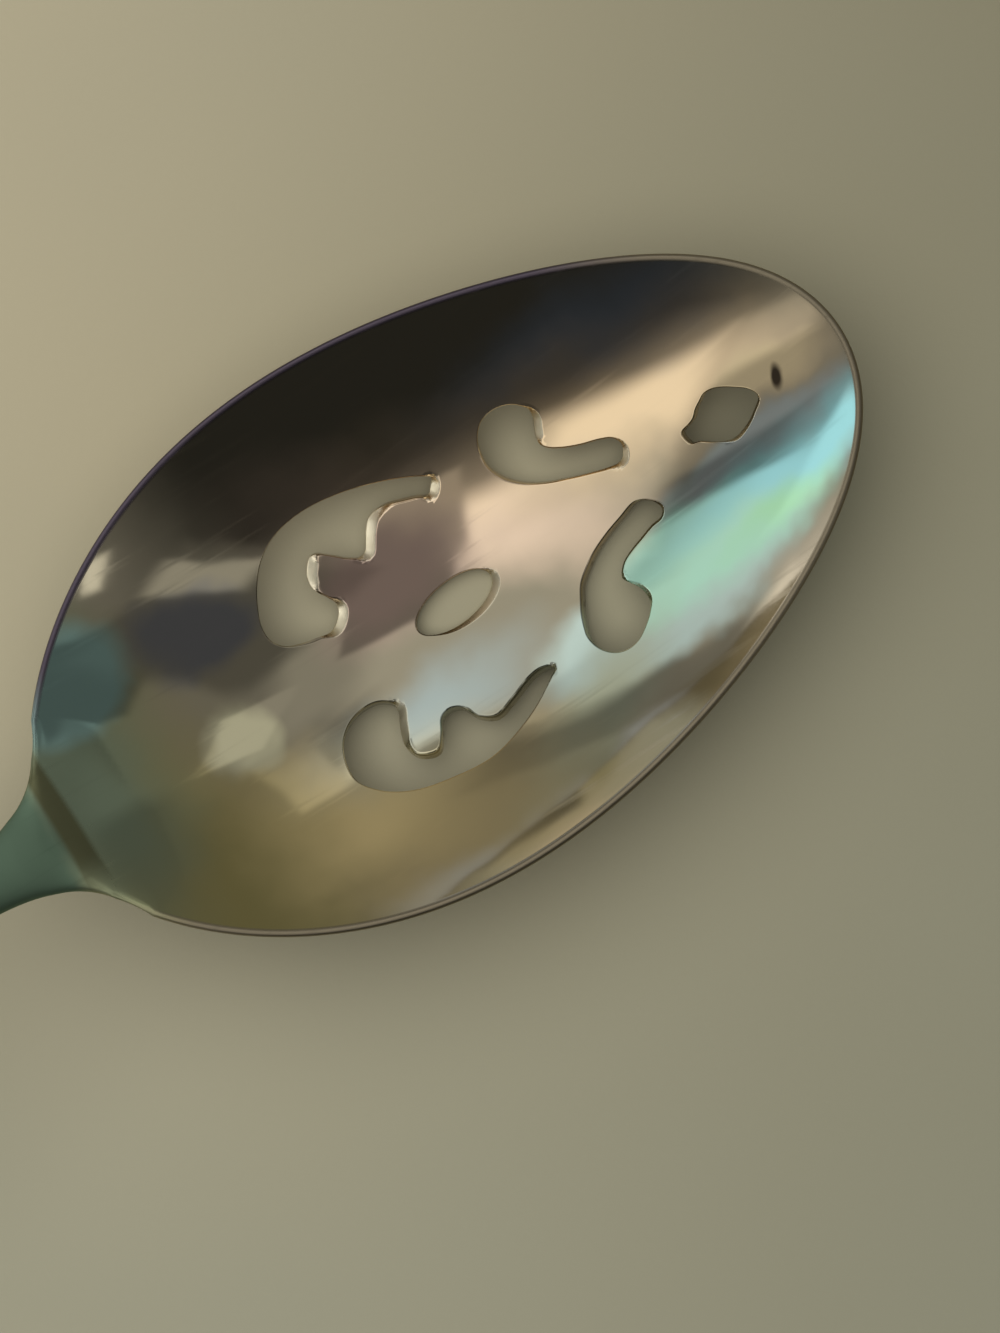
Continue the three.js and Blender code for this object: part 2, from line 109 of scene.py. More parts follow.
# Piercings, from the bowl's centre: x towards the tip, y to the side
SAWN = {
    "left scroll": [
        (4.3, 9.6), (3.7, 8.9), (3.2, 8.5), (2.4, 8.9), (1.3, 9.3), (0.1, 9.7), (-1, 9.8),
        (-2, 9.6), (-2.8, 8.9), (-3.4, 8.1), (-3.9, 7.5), (-4.5, 7.4), (-5.4, 7.9), (-6.4, 8.8),
        (-7.3, 9.5), (-7.9, 9.5), (-8.5, 9), (-9, 8.3), (-9.2, 7.2), (-8.7, 6.2), (-8.3, 5.3),
        (-8.5, 4.6), (-9.3, 3.8), (-10.1, 3.5), (-11.2, 3.7), (-12.6, 4), (-13.8, 4.5),
        (-14.5, 5.5), (-14.5, 6.7), (-13.9, 8.2), (-12.9, 9.8), (-11.5, 11.3), (-9.9, 12.3),
        (-7.8, 12.9), (-5.4, 13), (-2.7, 12.6), (-0.2, 11.9), (2.1, 11), (3.8, 10.1),
    ],
    "right scroll": [
        (4.4, -9.4), (2.5, -10.9), (-0.2, -12.2), (-3.8, -13.1), (-7.8, -12.7), (-10.8, -11.9),
        (-13.2, -10.4), (-14.6, -8.4), (-14.2, -5.5), (-12.8, -4), (-10.9, -3.5), (-9.6, -3.8),
        (-8.7, -4.7), (-9.3, -6.4), (-9.7, -7.9), (-9.1, -9.4), (-7.5, -10), (-6.6, -9),
        (-5.9, -7.8), (-5.1, -7.5), (-4.1, -7.9), (-3.3, -9.3), (-1.9, -10.2), (0.1, -9.7),
        (2.1, -9), (3.4, -8.9),
    ],
    "left comma": [
        (9.6, 10.2), (10.6, 11), (11.8, 11.2), (12.9, 11), (13.8, 10.5), (14.4, 9.7),
        (14.3, 8.9), (13.8, 8), (13.5, 7), (13.9, 6.3), (14.9, 5.6), (16.4, 4.9), (18.1, 4.3),
        (19, 3.8), (19.3, 3.1), (18.9, 2.3), (18.3, 1.9), (17.1, 2.1), (15.3, 2.7), (13.5, 3.4),
        (11.9, 4.1), (10.5, 5), (9.3, 6.3), (8.8, 7.6), (9, 9.1),
    ],
    "right comma": [
        (17.5, -1.6), (18.3, -1.9), (19, -2.6), (19.2, -3.4), (18.8, -3.9), (17.8, -4),
        (16.4, -4.4), (15.1, -4.8), (14.2, -5.2), (13.6, -5.7), (13.2, -6.3), (13.4, -6.8),
        (13.9, -7.5), (14.2, -8.4), (14.2, -9.4), (13.8, -10.2), (12.9, -11), (11.7, -11.7),
        (10.5, -11.8), (9.5, -11.4), (8.6, -10.4), (8.2, -9), (8.6, -7.3), (9.3, -5.9),
        (10, -4.8), (11, -4), (12.3, -3.2), (14, -2.5), (15.8, -2),
    ],
    "keyhole": [
        (24.1, 0.8), (25, 1), (25.6, 1.2), (26.2, 1.7), (26.8, 2), (27.5, 2.3), (28.3, 2.2),
        (29.1, 1.8), (29.9, 1.2), (30.7, 0.5), (31.1, -0.2), (31.1, -0.6), (30.5, -1),
        (29.7, -1.5), (28.7, -1.9), (27.7, -2.1), (27, -2), (25.8, -1.3), (24.9, -0.6),
        (24.3, -0.4), (24.1, 0.1),
    ],
}
OVAL_LENGTH = 7.7
OVAL_WIDTH = 3.6
OVAL_TURN = 6

# Fineness of the surfaces
SHEET_SPACING = 0.5  # between the points of the bowl's sheet
RIM_SPACING = 0.4
SAWN_SPACING = 0.28
RIM_POINTS = 2880
OVAL_POINTS = 96
CURVE_POINTS = 24  # between two points of an opening's outline
LIP_STEPS = (0, 0.05, 0.19, 0.41, 0.69, 1)  # across the lip's rounding, from its edge
WORN_STEPS = (0, 0.08, 0.3, 0.6, 0.88, 1)  # across an opening's worn edge
EDGE_ROWS = (0.08, 0.34)  # distances of two more rows of points behind an edge
EDGE_CLEARANCE = 0.3  # from those rows to the sheet's even points
ROW_SLACK = 0.01  # how much closer to another edge a point may come before it is left out
CUT_LEVELS = 5  # heights at which a cut face is measured
EDGE_MARGIN = 0.04  # how far an edge's look goes past its width
EDGE_FADE = 0.14  # distance over which it gives way to the sheet's look
HOLLOW_TURN = 50  # degrees to each side of the heel, where the hollow is opened into the neck
HOLLOW_REACH = (0.55, 1.3)  # the same, from the centre outwards, where 1 is the rim
HOLLOW_GRID = (33, 41)
HOLLOW_OVERLAP = 0.03  # how far below the hollow's face the cut goes, inside the bowl's wall
HEADROOM = 12.0  # height of what is cut away above it
NECK_SIDES = 72
FLARE_ZONE = 12  # length of neck behind the heel with fine stations
FLARE_SPACING = 0.3
NECK_SPACING = 0.7
TANG_STATIONS = 30
COLLAR_SIDES = 96
BEAD_STATIONS = 61
BORE_STATIONS = 13
HANDLE_SIDES = 88  # across one shell
HANDLE_STATIONS = 110
BUTT_STATIONS = 25
FLOOR_PROBE = 0.5  # between the points where the bowl's lowest level is looked for
BUTT_PROBE = 0.25
HALVINGS = 40
SETTLINGS = 8
BATCH = 1000  # points that are measured at once
WELD = 1e-4  # points closer than this become one
SAME_POINT = 1e-6

LENGTH = BOWL_LENGTH + NECK_LENGTH + COLLAR_LENGTH + HANDLE_LENGTH
TIP_X = LENGTH / 2
CENTRE_X = TIP_X - BOWL_CENTRE
HEEL_X = TIP_X - BOWL_LENGTH
COLLAR_X = HEEL_X - NECK_LENGTH
MOUTH_X = COLLAR_X - COLLAR_LENGTH
BUTT_X = -LENGTH / 2
ROUND_X = BUTT_X + END_ROUND
ARCH_X = MOUTH_X - ARCH_PLACE
PRESS_DEPTH = BOWL_DEPTH + BOWL_WALL

# Camera, as the photograph was taken: from above, a little off the square
CAMERA_PLACE = (106.48, -43.40, 310.95)
CAMERA_YAW = -33.287
CAMERA_TILT_X = -1.693
CAMERA_TILT_Y = -9.672
FRAME_HIGH = 1333
FOCAL_PIXELS = 3718.4
SENSOR = 36.0
CLIPPING = (0.01, 20)  # metres


def linear(code):
    """The linear colour of an sRGB hex value."""
    parts = [int(code[i:i + 2], 16) / 255 for i in (1, 3, 5)]
    return [p / 12.92 if p <= 0.04045 else ((p + 0.055) / 1.055) ** 2.4 for p in parts] + [1]


def add(tree, kind, inputs=None, **settings):
    """A new node. Each input takes a value, a socket, or a node, which means its first output."""
    node = tree.nodes.new(kind)
    for name, value in settings.items():
        setattr(node, name, value)
    for name, value in (inputs or {}).items():
        if isinstance(value, bpy.types.Node):
            value = value.outputs[0]
        if isinstance(value, bpy.types.NodeSocket):
            tree.links.new(value, node.inputs[name])
        else:
            node.inputs[name].default_value = value
    return node


def cubic(t, span, a, slope_a, b, slope_b):
    """The cubic from value a to value b with those slopes, for t from 0 to 1 over a span."""
    start = a * (2 * t**3 - 3 * t**2 + 1) + slope_a * span * (t**3 - 2 * t**2 + t)
    return start + b * (3 * t**2 - 2 * t**3) + slope_b * span * (t**3 - t**2)


def egg_side(angle):
    """The egg's half width, before it is scaled to the bowl's."""
    c = np.cos(angle)
    full = 1 - HEEL_FULLNESS * c - SIDE_FULLNESS * c**2 + NOSE_FULLNESS * c**3
    return np.sin(angle) * full


SIDE_SCALE = BOWL_WIDTH / 2 / egg_side(np.radians(np.arange(181))).max()


def rim_plan(angle):
    """The bowl's outline in plan, with angle 0 at the tip and pi at the heel."""
    return TIP_X - BOWL_LENGTH / 2 * (1 - np.cos(angle)), SIDE_SCALE * egg_side(angle)


def reach_of(x, y):
    """How far a point in plan lies from the bowl's centre to its rim: 1 is on the rim."""
    dx = np.asarray(x, float) - CENTRE_X
    dy = np.abs(np.asarray(y, float))
    low, high = np.zeros_like(dx), np.full_like(dx, math.pi)
    for _ in range(HALVINGS):
        middle = (low + high) / 2
        rx, ry = rim_plan(middle)
        beyond = (rx - CENTRE_X) * dy - ry * dx > 0
        low, high = np.where(beyond, middle, low), np.where(beyond, high, middle)
    rx, ry = rim_plan(low)
    return np.hypot(dx, dy) / np.hypot(rx - CENTRE_X, ry)


def rim_shape(x):
    """Height of the rim over the level of the tip, at x."""
    t = (TIP_X - x) / BOWL_LENGTH
    return RIM_RISE * t - 4 * RIM_SAG * t * (1 - t)


def above_tip(x, y):
    """Height of the bowl's underside over the level of its tip."""
    return rim_shape(x) - PRESS_DEPTH * (1 - reach_of(x, y) ** FLOOR_POWER)


along = np.arange(HEEL_X, TIP_X, FLOOR_PROBE)
TIP_LEVEL = -WORN_FLAT - above_tip(along, 0 * along).min()
HEEL_LEVEL = TIP_LEVEL + RIM_RISE
HEEL_SLOPE = -(RIM_RISE + 4 * RIM_SAG) / BOWL_LENGTH


def wall_at(x, y):
    """The bowl's wall, which thins towards the lip."""
    share = np.clip((reach_of(x, y) - LIP_TAPER) / (1 - LIP_TAPER), 0, 1)
    return BOWL_WALL + (LIP_WALL - BOWL_WALL) * share**2 * (3 - 2 * share)


def square_to_wall(x, y):
    """Unit normals of the bowl's underside, pointing up into the hollow."""
    step = 0.01
    rise_x = above_tip(x + step, y) - above_tip(x - step, y)
    rise_y = above_tip(x, y + step) - above_tip(x, y - step)
    normal = np.stack([-rise_x, -rise_y, np.full_like(rise_x, 2 * step)], axis=-1)
    return normal / np.linalg.norm(normal, axis=-1, keepdims=True)


def centre_line(x, butt_level):
    """Height of the middle of the neck and handle, from the bowl's rim back to the butt."""
    x = np.asarray(x, float)
    front, back = HEEL_X - ARCH_X, ARCH_X - BUTT_X
    neck = cubic((x - ARCH_X) / front, front, ARCH_HEIGHT, 0, HEEL_LEVEL, HEEL_SLOPE)
    butt = cubic((x - BUTT_X) / back, back, butt_level, END_SLOPE, ARCH_HEIGHT, 0)
    return np.where(x >= HEEL_X, TIP_LEVEL + rim_shape(x), np.where(x >= ARCH_X, neck, butt))


def handle_half(x, mouth, waist, broad):
    """Half the handle's width or height at x."""
    x = np.asarray(x, float)
    waist_x = MOUTH_X - WAIST_PLACE
    span = waist_x - ROUND_X
    front = cubic((x - waist_x) / WAIST_PLACE, WAIST_PLACE, waist, 0, mouth, 0)
    back = cubic((x - ROUND_X) / span, span, broad, 0, waist, 0)
    full = np.where(x >= waist_x, front, np.where(x > ROUND_X, back, broad))
    share = np.clip((ROUND_X - x) / END_ROUND, 0, 1)
    return full / 2 * np.sqrt(1 - share**2)


def settled_butt():
    """Level of the butt's end that lets its underside sink WORN_FLAT below the table."""
    level = BROAD_HEIGHT / 2
    x = np.arange(BUTT_X, MOUTH_X, BUTT_PROBE)
    half = handle_half(x, MOUTH_HEIGHT, WAIST_HEIGHT, BROAD_HEIGHT)
    for _ in range(SETTLINGS):
        level -= (centre_line(x, level) - half).min() + WORN_FLAT
    return level


BUTT_LEVEL = settled_butt()


def neck_section(x, grow=0.0):
    """Half width, height above and height below the centre line of the neck and the tang."""
    x = np.asarray(x, float)
    share = np.clip((COLLAR_X - x) / TANG_LENGTH, 0, 1)
    flare = HEEL_FLARE * np.exp(np.minimum(x - HEEL_X, FLARE_INSIDE) / FLARE_LENGTH)
    half = (NECK_WIDTH + (TANG_END_WIDTH - NECK_WIDTH) * share) / 2
    half = half + np.where(x >= COLLAR_X, flare, 0)
    above = NECK_TOP + (TANG_END_HEIGHT / 2 - NECK_TOP) * share
    below = NECK_UNDER + (TANG_END_HEIGHT / 2 - NECK_UNDER) * share
    return half + grow, above + grow, below + grow


def smooth_outline(points):
    """A dense closed curve through points: a centripetal Catmull-Rom spline."""
    p1 = np.array(points, float)
    p0, p2, p3 = np.roll(p1, 1, 0), np.roll(p1, -1, 0), np.roll(p1, -2, 0)
    d0, d1, d2 = (np.sqrt(np.linalg.norm(b - a, axis=1))[:, None]
                  for a, b in ((p0, p1), (p1, p2), (p2, p3)))
    m1 = ((p1 - p0) / d0 - (p2 - p0) / (d0 + d1) + (p2 - p1) / d1) * d1
    m2 = ((p2 - p1) / d1 - (p3 - p1) / (d1 + d2) + (p3 - p2) / d2) * d1
    rows = [cubic(t, 1, p1, m1, p2, m2) for t in np.arange(CURVE_POINTS) / CURVE_POINTS]
    return np.stack(rows, axis=1).reshape(-1, 2)


def evenly(outline, spacing):
    """The closed outline again, with its points one spacing apart."""
    ends = np.vstack([outline, outline[:1]])
    run = np.concatenate([[0], np.cumsum(np.linalg.norm(np.diff(ends, axis=0), axis=1))])
    places = np.linspace(0, run[-1], round(run[-1] / spacing), endpoint=False)
    return np.stack([np.interp(places, run, ends[:, k]) for k in (0, 1)], axis=1)


def side_of(outline):
    """Unit vectors square to a closed outline at its points, pointing out of it."""
    tangent = np.roll(outline, -1, 0) - np.roll(outline, 1, 0)
    out = np.stack([tangent[:, 1], -tangent[:, 0]], axis=1)
    x, y = outline.T
    area = np.sum(x * np.roll(y, -1) - np.roll(x, -1) * y)
    return np.sign(area) * out / np.linalg.norm(out, axis=1, keepdims=True)


def nearest(points, outline):
    """Distance from each point to a closed outline."""
    a, b = outline, np.roll(outline, -1, 0)
    ab = b - a
    best = np.full(len(points), np.inf)
    for start in range(0, len(points), BATCH):
        p = points[start:start + BATCH, None]
        t = np.clip(((p - a) * ab).sum(2) / (ab * ab).sum(1), 0, 1)
        gap = np.linalg.norm(p - (a + t[..., None] * ab), axis=2)
        best[start:start + BATCH] = gap.min(1)
    return best


def closest(points, others):
    """Distance to the closest of the other points, and which it is, for each point."""
    gaps, places = np.empty(len(points)), np.empty(len(points), int)
    for start in range(0, len(points), BATCH):
        away = np.linalg.norm(points[start:start + BATCH, None] - others, axis=2)
        places[start:start + BATCH] = away.argmin(1)
        gaps[start:start + BATCH] = away.min(1)
    return gaps, places


def eased(share):
    """A share from 0 to 1 that starts and ends without a corner."""
    share = np.clip(share, 0, 1)
    return share**2 * (3 - 2 * share)


def within(points, outline):
    """Which points lie inside a closed outline."""
    a, b = outline, np.roll(outline, -1, 0)
    inside = np.zeros(len(points), bool)
    for (ax, ay), (bx, by) in zip(a, b):
        spans = (ay > points[:, 1]) != (by > points[:, 1])
        crossing = ax + (points[:, 1] - ay) * (bx - ax) / (by - ay if by != ay else 1)
        inside ^= spans & (points[:, 0] < crossing)
    return inside


def oval_outline():
    """The one opening that is a plain oval, from the bowl's centre."""
    angle = np.linspace(0, 2 * math.pi, OVAL_POINTS, endpoint=False)
    x, y = OVAL_LENGTH / 2 * np.cos(angle), OVAL_WIDTH / 2 * np.sin(angle)
    cos, sin = math.cos(math.radians(OVAL_TURN)), math.sin(math.radians(OVAL_TURN))
    return np.stack([x * cos - y * sin, x * sin + y * cos], axis=1)


def sawn_outlines():
    """The openings' outlines on the underside, in plan. The saw is held square to the wall."""
    outlines = []
    for outline in [oval_outline()] + [smooth_outline(points) for points in SAWN.values()]:
        placed = outline + (CENTRE_X, 0)
        wall = wall_at(placed[:, 0], placed[:, 1])[:, None]
        under = placed - wall * square_to_wall(placed[:, 0], placed[:, 1])[:, :2]
        outlines.append(evenly(under, SAWN_SPACING))
    return outlines


def rim_outline():
    """The bowl's outline, all the way round."""
    angle = np.linspace(0, 2 * math.pi, RIM_POINTS, endpoint=False)
    x, y = rim_plan(np.minimum(angle, 2 * math.pi - angle))
    return evenly(np.stack([x, np.where(angle > math.pi, -y, y)], axis=1), RIM_SPACING)


def lean_of(outline):
    """How far the wall's normal leans over the opening at each point of its edge, in radians."""
    x, y = outline.T
    return np.arcsin(-(square_to_wall(x, y)[:, :2] * side_of(outline)).sum(1))


def worn_and_lit_share(outline):
    """How far polishing has worn an opening's edge, and how far it is painted bright as a highlight.

    It is 1 where the edge faces the strokes and the light, and less where the wall slopes to
    meet them.
    """
    turn = math.radians(WEAR_AND_LIGHT_TURN)
    facing = -side_of(outline) @ (math.cos(turn), math.sin(turn))
    share = eased((facing - WEAR_AND_LIGHT_SPREAD) / (1 - WEAR_AND_LIGHT_SPREAD))
    share *= 1 - eased(lean_of(outline) / math.radians(SPARED_LEAN))
    return (np.roll(share, 1) + share + np.roll(share, -1)) / 3


def edge_width(hole):
    """Width of an opening's edge in the hollow, at each point of its outline."""
    return SAWN_EDGE + (WORN_EDGE - SAWN_EDGE) * worn_and_lit_share(hole)


def edge_depth(hole):
    """Depth of that edge: as deep as wide where it is filed, and at WORN_SLOPE where worn."""
    x, y = hole.T
    width = edge_width(hole)
    worn = np.minimum(width * np.tan(math.radians(WORN_SLOPE) - lean_of(hole)),
                      WORN_DEPTH * wall_at(x, y))
    return width + (worn - width) * worn_and_lit_share(hole)


def even_points(rim, holes, widths):
    """Points at even distances over the sheet, clear of its edges."""
    columns = np.arange(HEEL_X, TIP_X, SHEET_SPACING)
    rows = np.arange(-BOWL_WIDTH / 2, BOWL_WIDTH / 2, SHEET_SPACING * math.sqrt(3) / 2)
    inner = np.concatenate([
        np.stack([columns + (i % 2) * SHEET_SPACING / 2, np.full(len(columns), y)], axis=1)
        for i, y in enumerate(rows)])
    inner = inner[within(inner, rim)]
    for hole in holes:
        inner = inner[~within(inner, hole)]
    gaps, places = closest(inner, np.concatenate([rim, *holes]))
    return inner[gaps > np.concatenate(widths)[places] + EDGE_ROWS[-1] + EDGE_CLEARANCE]


def cut_sheet(points, ties, rim, holes):
    """Triangles over the sheet's points: the points, the triangles and each point's old number."""
    places, _, faces, numbers, _, _ = delaunay_2d_cdt(
        [Vector(p) for p in points], ties, [], 0, SAME_POINT)
    places = np.array([tuple(p) for p in places])
    faces = np.array([f for f in faces if len(f) == 3])
    middles = places[faces].mean(1)
    solid = within(middles, rim)
    for hole in holes:
        solid &= ~within(middles, hole)
    return places, faces[solid], [same[0] if same else 0 for same in numbers]


def bowl_blank():
    """The bowl's sheet before it is pressed: its outline, its openings and fine even points.

    Each point keeps its reach from centre to rim, and how far the edge's rounding takes it down
    in the hollow and up on the underside.
    """
    rim, holes = rim_outline(), sawn_outlines()
    edges = [(rim, np.full(len(rim), LIP_ROLL), -1, LIP_STEPS)]
    edges += [(hole, edge_width(hole), 1, WORN_STEPS) for hole in holes]
    points, drops, under_drops, ties = [], [], [], []
    for outline, width, way, steps in edges:
        depth = width if way < 0 else edge_depth(outline)
        for share, beyond in [(step, 0) for step in steps] + [(1, row) for row in EDGE_ROWS]:
            inset = share * width + beyond
            ring = outline + way * inset[:, None] * side_of(outline)
            if share > 0:
                clear = np.min([nearest(ring, edge[0]) for edge in edges], axis=0)
                kept = clear > inset - ROW_SLACK
            else:
                kept = np.full(len(ring), True)
                first, count = sum(len(row) for row in points), len(ring)
                ties += [(first + i, first + (i + 1) % count) for i in range(count)]
            if way < 0:
                drop = depth * (1 - math.sqrt(1 - (1 - share) ** 2))
                under_drop = drop
            else:
                drop = depth * (1 - share) ** WORN_CROWN
                under_drop = SAWN_BACK * drop
            points.append(ring[kept])
            drops.append(drop[kept])
            under_drops.append(under_drop[kept])
    points.append(even_points(rim, holes, [edge[1] for edge in edges]))
    drops.append(np.zeros(len(points[-1])))
    under_drops.append(np.zeros(len(points[-1])))

    places, faces, numbers = cut_sheet(np.concatenate(points), ties, rim, holes)
    mesh = flat_mesh("bowl_blank", places, faces)
    mark(mesh, {"drop": np.concatenate(drops)[numbers],
                "under_drop": np.concatenate(under_drops)[numbers],
                "reach": reach_of(places[:, 0], places[:, 1])})
    return mesh


def flat_mesh(name, places, faces):
    mesh = bpy.data.meshes.new(name)
    mesh.from_pydata([(x, y, 0) for x, y in places], [], [tuple(map(int, f)) for f in faces])
    return mesh


def mark(mesh, values):
    """Stores numbers on a mesh's points, one for each, under their names."""
    for name, numbers in values.items():
        layer = mesh.attributes.new(name, "FLOAT", "POINT")
        layer.data.foreach_set("value", np.asarray(numbers, np.float32))


def hollow_blank():
    """The part of the hollow's face that the neck runs into, carried on past the rim."""
    rows, columns = HOLLOW_GRID
    turn = np.linspace(-1, 1, columns)[None, :] * math.radians(HOLLOW_TURN)
    reach = np.linspace(*HOLLOW_REACH, rows)[:, None] + 0 * turn
    rim_x, rim_y = rim_plan(math.pi - np.abs(turn))
    x = CENTRE_X + reach * (rim_x - CENTRE_X)
    y = reach * rim_y * np.sign(turn)
    index = np.arange(rows * columns).reshape(rows, columns)
    faces = np.stack([index[:-1, :-1], index[:-1, 1:], index[1:, 1:], index[1:, :-1]], axis=-1)
    mesh = flat_mesh("hollow_blank", np.stack([x, y], axis=-1).reshape(-1, 2), faces.reshape(-1, 4))
    mark(mesh, {"reach": reach.ravel()})
    return mesh


def stations(name, x, half, above, below):
    """Points along the spoon's centre line, each with the sizes of a bar's section there."""
    mesh = bpy.data.meshes.new(name)
    mesh.from_pydata([(a, 0, b) for a, b in zip(x, centre_line(x, BUTT_LEVEL))], [], [])
    mark(mesh, {"half_width": half, "above": above, "below": below})
    return mesh


def new_tree(name, sockets):
    """A geometry tree with those named inputs. Returns it and its inputs by name."""
    tree = bpy.data.node_groups.new(name, "GeometryNodeTree")
    kinds = {float: "NodeSocketFloat", int: "NodeSocketInt"}
    for label, value in sockets.items():
        kind = value if isinstance(value, str) else kinds[type(value)]
        socket = tree.interface.new_socket(name=label, in_out="INPUT", socket_type=kind)
        if not isinstance(value, str):
            socket.default_value = value
    tree.interface.new_socket(name="Geometry", in_out="OUTPUT", socket_type="NodeSocketGeometry")
    tree.nodes.new("NodeGroupInput")
    tree.nodes.new("NodeGroupOutput")
    return tree, tree.nodes["Group Input"].outputs


def close_tree(tree, result):
    tree.links.new(result, tree.nodes["Group Output"].inputs[0])


def press_tree():
    """Presses a flat blank to the underside of the bowl and keeps the directions square to it."""
    tree, size = new_tree("press bowl", {
        "Blank": "NodeSocketGeometry", "Tip X": float(TIP_X), "Tip level": float(TIP_LEVEL),
        "Bowl length": float(BOWL_LENGTH), "Rim rise": float(RIM_RISE), "Rim sag": float(RIM_SAG),
        "Press depth": float(PRESS_DEPTH), "Floor power": float(FLOOR_POWER),
    })
    place = add(tree, "ShaderNodeSeparateXYZ", {0: add(tree, "GeometryNodeInputPosition")})
    back = add(tree, "ShaderNodeMath", {0: size["Tip X"], 1: place.outputs["X"]},
               operation="SUBTRACT")
    t = add(tree, "ShaderNodeMath", {0: back, 1: size["Bowl length"]}, operation="DIVIDE")
    ahead = add(tree, "ShaderNodeMath", {0: 1.0, 1: t}, operation="SUBTRACT")
    hump = add(tree, "ShaderNodeMath", {0: t, 1: ahead}, operation="MULTIPLY")
    sag = add(tree, "ShaderNodeMath", {0: size["Rim sag"], 1: -4.0}, operation="MULTIPLY")
    level = add(tree, "ShaderNodeMath", {0: size["Rim rise"], 1: t, 2: size["Tip level"]},
                operation="MULTIPLY_ADD")
    rim = add(tree, "ShaderNodeMath", {0: hump, 1: sag, 2: level}, operation="MULTIPLY_ADD")
    reach = add(tree, "GeometryNodeInputNamedAttribute", {"Name": "reach"}, data_type="FLOAT")
    power = add(tree, "ShaderNodeMath", {0: reach, 1: size["Floor power"]}, operation="POWER")
    short = add(tree, "ShaderNodeMath", {0: power, 1: 1.0}, operation="SUBTRACT")
    height = add(tree, "ShaderNodeMath", {0: short, 1: size["Press depth"], 2: rim},
                 operation="MULTIPLY_ADD")
    target = add(tree, "ShaderNodeCombineXYZ",
                 {"X": place.outputs["X"], "Y": place.outputs["Y"], "Z": height})
    pressed = add(tree, "GeometryNodeSetPosition", {"Geometry": size["Blank"], "Position": target})
    kept = add(tree, "GeometryNodeStoreNamedAttribute",
               {"Geometry": pressed, "Name": "square", "Value": add(tree, "GeometryNodeInputNormal")},
               data_type="FLOAT_VECTOR", domain="POINT")
    close_tree(tree, kept.outputs[0])
    return tree


def thicken_tree():
    """Makes a closed wall of a sheet: one skin moved by Low, the other by High, and its edges."""
    tree, size = new_tree("thicken sheet", {
        "Sheet": "NodeSocketGeometry", "Low": "NodeSocketVector", "High": "NodeSocketVector"})
    low = add(tree, "GeometryNodeSetPosition", {"Geometry": size["Sheet"], "Offset": size["Low"]})
    raised = add(tree, "GeometryNodeExtrudeMesh",
                 {"Mesh": low, "Offset Scale": 0.0, "Individual": False})
    way = add(tree, "ShaderNodeVectorMath", {0: size["High"], 1: size["Low"]}, operation="SUBTRACT")
    high = add(tree, "GeometryNodeSetPosition",
               {"Geometry": raised, "Selection": raised.outputs["Top"], "Offset": way})
    other = add(tree, "GeometryNodeFlipFaces", {"Mesh": low})
    both = tree.nodes.new("GeometryNodeJoinGeometry")
    tree.links.new(other.outputs[0], both.inputs[0])
    tree.links.new(high.outputs[0], both.inputs[0])
    shut = add(tree, "GeometryNodeMergeByDistance", {"Geometry": both, "Distance": WELD})
    close_tree(tree, shut.outputs[0])
    return tree


def loft_tree():
    """Lofts a bar over stations. Its sections are two half ellipses, on one centre line."""
    tree, size = new_tree("loft bar", {
        "Stations": "NodeSocketGeometry", "Sides": 24, "First turn": 0.0, "Last turn": 1.0})
    count = add(tree, "GeometryNodeAttributeDomainSize", {"Geometry": size["Stations"]},
                component="MESH")
    across = add(tree, "ShaderNodeMath", {0: size["Sides"], 1: 1.0}, operation="ADD")
    grid = add(tree, "GeometryNodeMeshGrid",
               {"Vertices X": count.outputs["Point Count"], "Vertices Y": across})
    index = add(tree, "GeometryNodeInputIndex")
    row = add(tree, "ShaderNodeMath", {0: index, 1: across}, operation="DIVIDE")
    row = add(tree, "ShaderNodeMath", {0: row}, operation="FLOOR")
    column = add(tree, "ShaderNodeMath", {0: index, 1: across}, operation="MODULO")
    share = add(tree, "ShaderNodeMath", {0: column, 1: size["Sides"]}, operation="DIVIDE")
    turn = add(tree, "ShaderNodeMapRange",
               {"Value": share, "To Min": size["First turn"], "To Max": size["Last turn"]})
    angle = add(tree, "ShaderNodeMath", {0: turn, 1: 2 * math.pi}, operation="MULTIPLY")
    side = add(tree, "ShaderNodeMath", {0: angle}, operation="COSINE")
    up = add(tree, "ShaderNodeMath", {0: angle}, operation="SINE")
    is_up = add(tree, "ShaderNodeMath", {0: up, 1: 0.0}, operation="GREATER_THAN")
    found = {}
    for name in ("half_width", "above", "below"):
        value = add(tree, "GeometryNodeInputNamedAttribute", {"Name": name}, data_type="FLOAT")
        found[name] = add(tree, "GeometryNodeSampleIndex",
                          {"Geometry": size["Stations"], "Value": value, "Index": row},
                          data_type="FLOAT")
    place = add(tree, "GeometryNodeInputPosition")
    middle = add(tree, "GeometryNodeSampleIndex",
                 {"Geometry": size["Stations"], "Value": place, "Index": row},
                 data_type="FLOAT_VECTOR")
    tall = add(tree, "ShaderNodeMix", {"Factor": is_up, 2: found["below"], 3: found["above"]})
    wide = add(tree, "ShaderNodeMath", {0: side, 1: found["half_width"]}, operation="MULTIPLY")
    high = add(tree, "ShaderNodeMath", {0: up, 1: tall}, operation="MULTIPLY")
    offset = add(tree, "ShaderNodeCombineXYZ", {"Y": wide, "Z": high})
    target = add(tree, "ShaderNodeVectorMath", {0: middle, 1: offset}, operation="ADD")
    lofted = add(tree, "GeometryNodeSetPosition",
                 {"Geometry": grid.outputs["Mesh"], "Position": target})
    shut = add(tree, "GeometryNodeMergeByDistance", {"Geometry": lofted, "Distance": WELD})
    close_tree(tree, shut.outputs[0])
    return tree


PRESS = press_tree()
THICKEN = thicken_tree()
LOFT = loft_tree()


